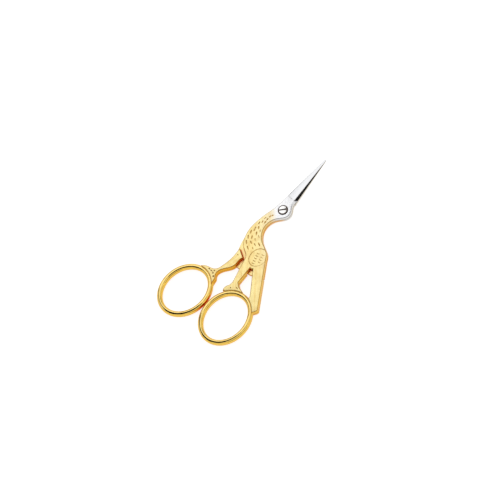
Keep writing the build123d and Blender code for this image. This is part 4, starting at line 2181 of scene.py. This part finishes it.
@dataclass
class Scissors:
    """The three pieces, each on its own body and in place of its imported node."""

    stork: Stork = Stork()
    skinner: Skinner = Skinner()
    front_finish: GiltSteel = GiltSteel(
        "gilt_steel_front", line_height=-0.0032, line_slope=-1.0, line_softness=0.0052, grain=0.637
    )
    rear_finish: GiltSteel = GiltSteel(
        "gilt_steel_rear", line_height=-0.0015, line_slope=-0.25, line_softness=0.002, grain=-0.32,
        # The rear half's walls get a deeper gold than the front's: painted shade on the lower half.
        gold_wall=linear(242, 180, 46), glancing=linear(255, 236, 200),
    )
    screw_finish: ScrewSteel = ScrewSteel()
    # The cuts are painted darker than the faces: partly unpolished gold, partly painted shade of their depth.
    feather_finish: CutGold = CutGold("chiselled_gold", linear(222, 180, 106), linear(186, 142, 78))
    line_finish: CutGold = CutGold("engraved_gold", linear(230, 196, 124), linear(204, 162, 94))
    claw_finish: CutGold = CutGold("clawed_gold", linear(176, 132, 72), linear(132, 92, 46))
    wire_margin: float = 0.03
    wire_blend: float = 0.2
    front_gilt: bpy.types.Material = field(init=False)
    rear_gilt: bpy.types.Material = field(init=False)
    screw_steel: bpy.types.Material = field(init=False)
    engraver: Engraver = field(init=False)

    def __post_init__(self) -> None:
        """Builds the materials and the engraver."""
        effects = Effects()
        self.front_gilt, self.rear_gilt, self.screw_steel = (
            finish.build(effects) for finish in (self.front_finish, self.rear_finish, self.screw_finish)
        )
        cuts = (self.feather_finish, self.line_finish, self.claw_finish)
        self.engraver = Engraver(self.stork, *(finish.build(effects) for finish in cuts))

    def forged(self, half: Forging, finish: bpy.types.Material) -> bpy.types.Object:
        """Makes one half of the scissors.

        Args:
            half: the half.
            finish: its material.

        Returns:
            The half, in metres.
        """
        piece = plain_object(half.name + "_forging", self.skinner.mesh(half, half.name))
        piece.data.materials.append(finish)
        blade = plain_object(half.name + "_blade", half.blade.mesh(half.name + "_blade"))
        blade.data.materials.append(finish)
        joined(piece, blade, Joining.ADD)
        bore = turned(half.name + "_bore", half.bore.profile())
        bore.data.materials.append(finish)
        joined(piece, bore, Joining.CUT)
        self.engraver.engrave(piece, half)
        self.polish(piece, half)
        finished(piece, half.crease)
        return piece

    def polish(self, piece: bpy.types.Object, half: Forging) -> None:
        """Marks where a half is polished like a mirror: its ring and the hollow inside of its blade.

        Args:
            piece: the half's object, in millimetres.
            half: the half.
        """
        places = np.empty(len(piece.data.vertices) * 3)
        piece.data.vertices.foreach_get("co", places)
        x, y, z = places.reshape(-1, 3).T
        off_wire = half.ring.wire(half.sheet.read(half.wire_plan, x, y), z)
        on_wire = np.clip(1 - (off_wire - self.wire_margin) / self.wire_blend, 0, 1)
        depth = (z - half.blade.inner) * half.blade.outward
        hollow = (y > half.blade.start) & (depth < half.blade.thickness * half.blade.hollow_share)
        share = np.maximum(on_wire, hollow).astype(np.float32)
        piece.data.attributes.new("mirror", "FLOAT", "POINT").data.foreach_set("value", share)

    def placed(self, piece: bpy.types.Object, body: str, node: str) -> None:
        """Puts a finished piece on its body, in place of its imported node.

        Args:
            piece: the piece.
            body: the body that it moves with.
            node: the node that it replaces.
        """
        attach(piece, body)
        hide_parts(node)
        log.info("%s: %d faces, rides on %s, replaces %s", piece.name, len(piece.data.polygons), body, node)

    def build(self) -> None:
        """Builds all three pieces."""
        for kind, finish in ((FrontHalf, self.front_gilt), (RearHalf, self.rear_gilt)):
            half = kind(self.stork)
            self.placed(self.forged(half, finish), half.body, half.name)
        screw = PivotScrew()
        self.placed(screw.build(self.screw_steel), screw.body, screw.name)


def main() -> None:
    """Loads the frame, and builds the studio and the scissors."""
    logging.basicConfig(level=logging.INFO, format="%(message)s")
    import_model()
    Studio().build()
    Scissors().build()


if __name__ == "__main__":
    main()
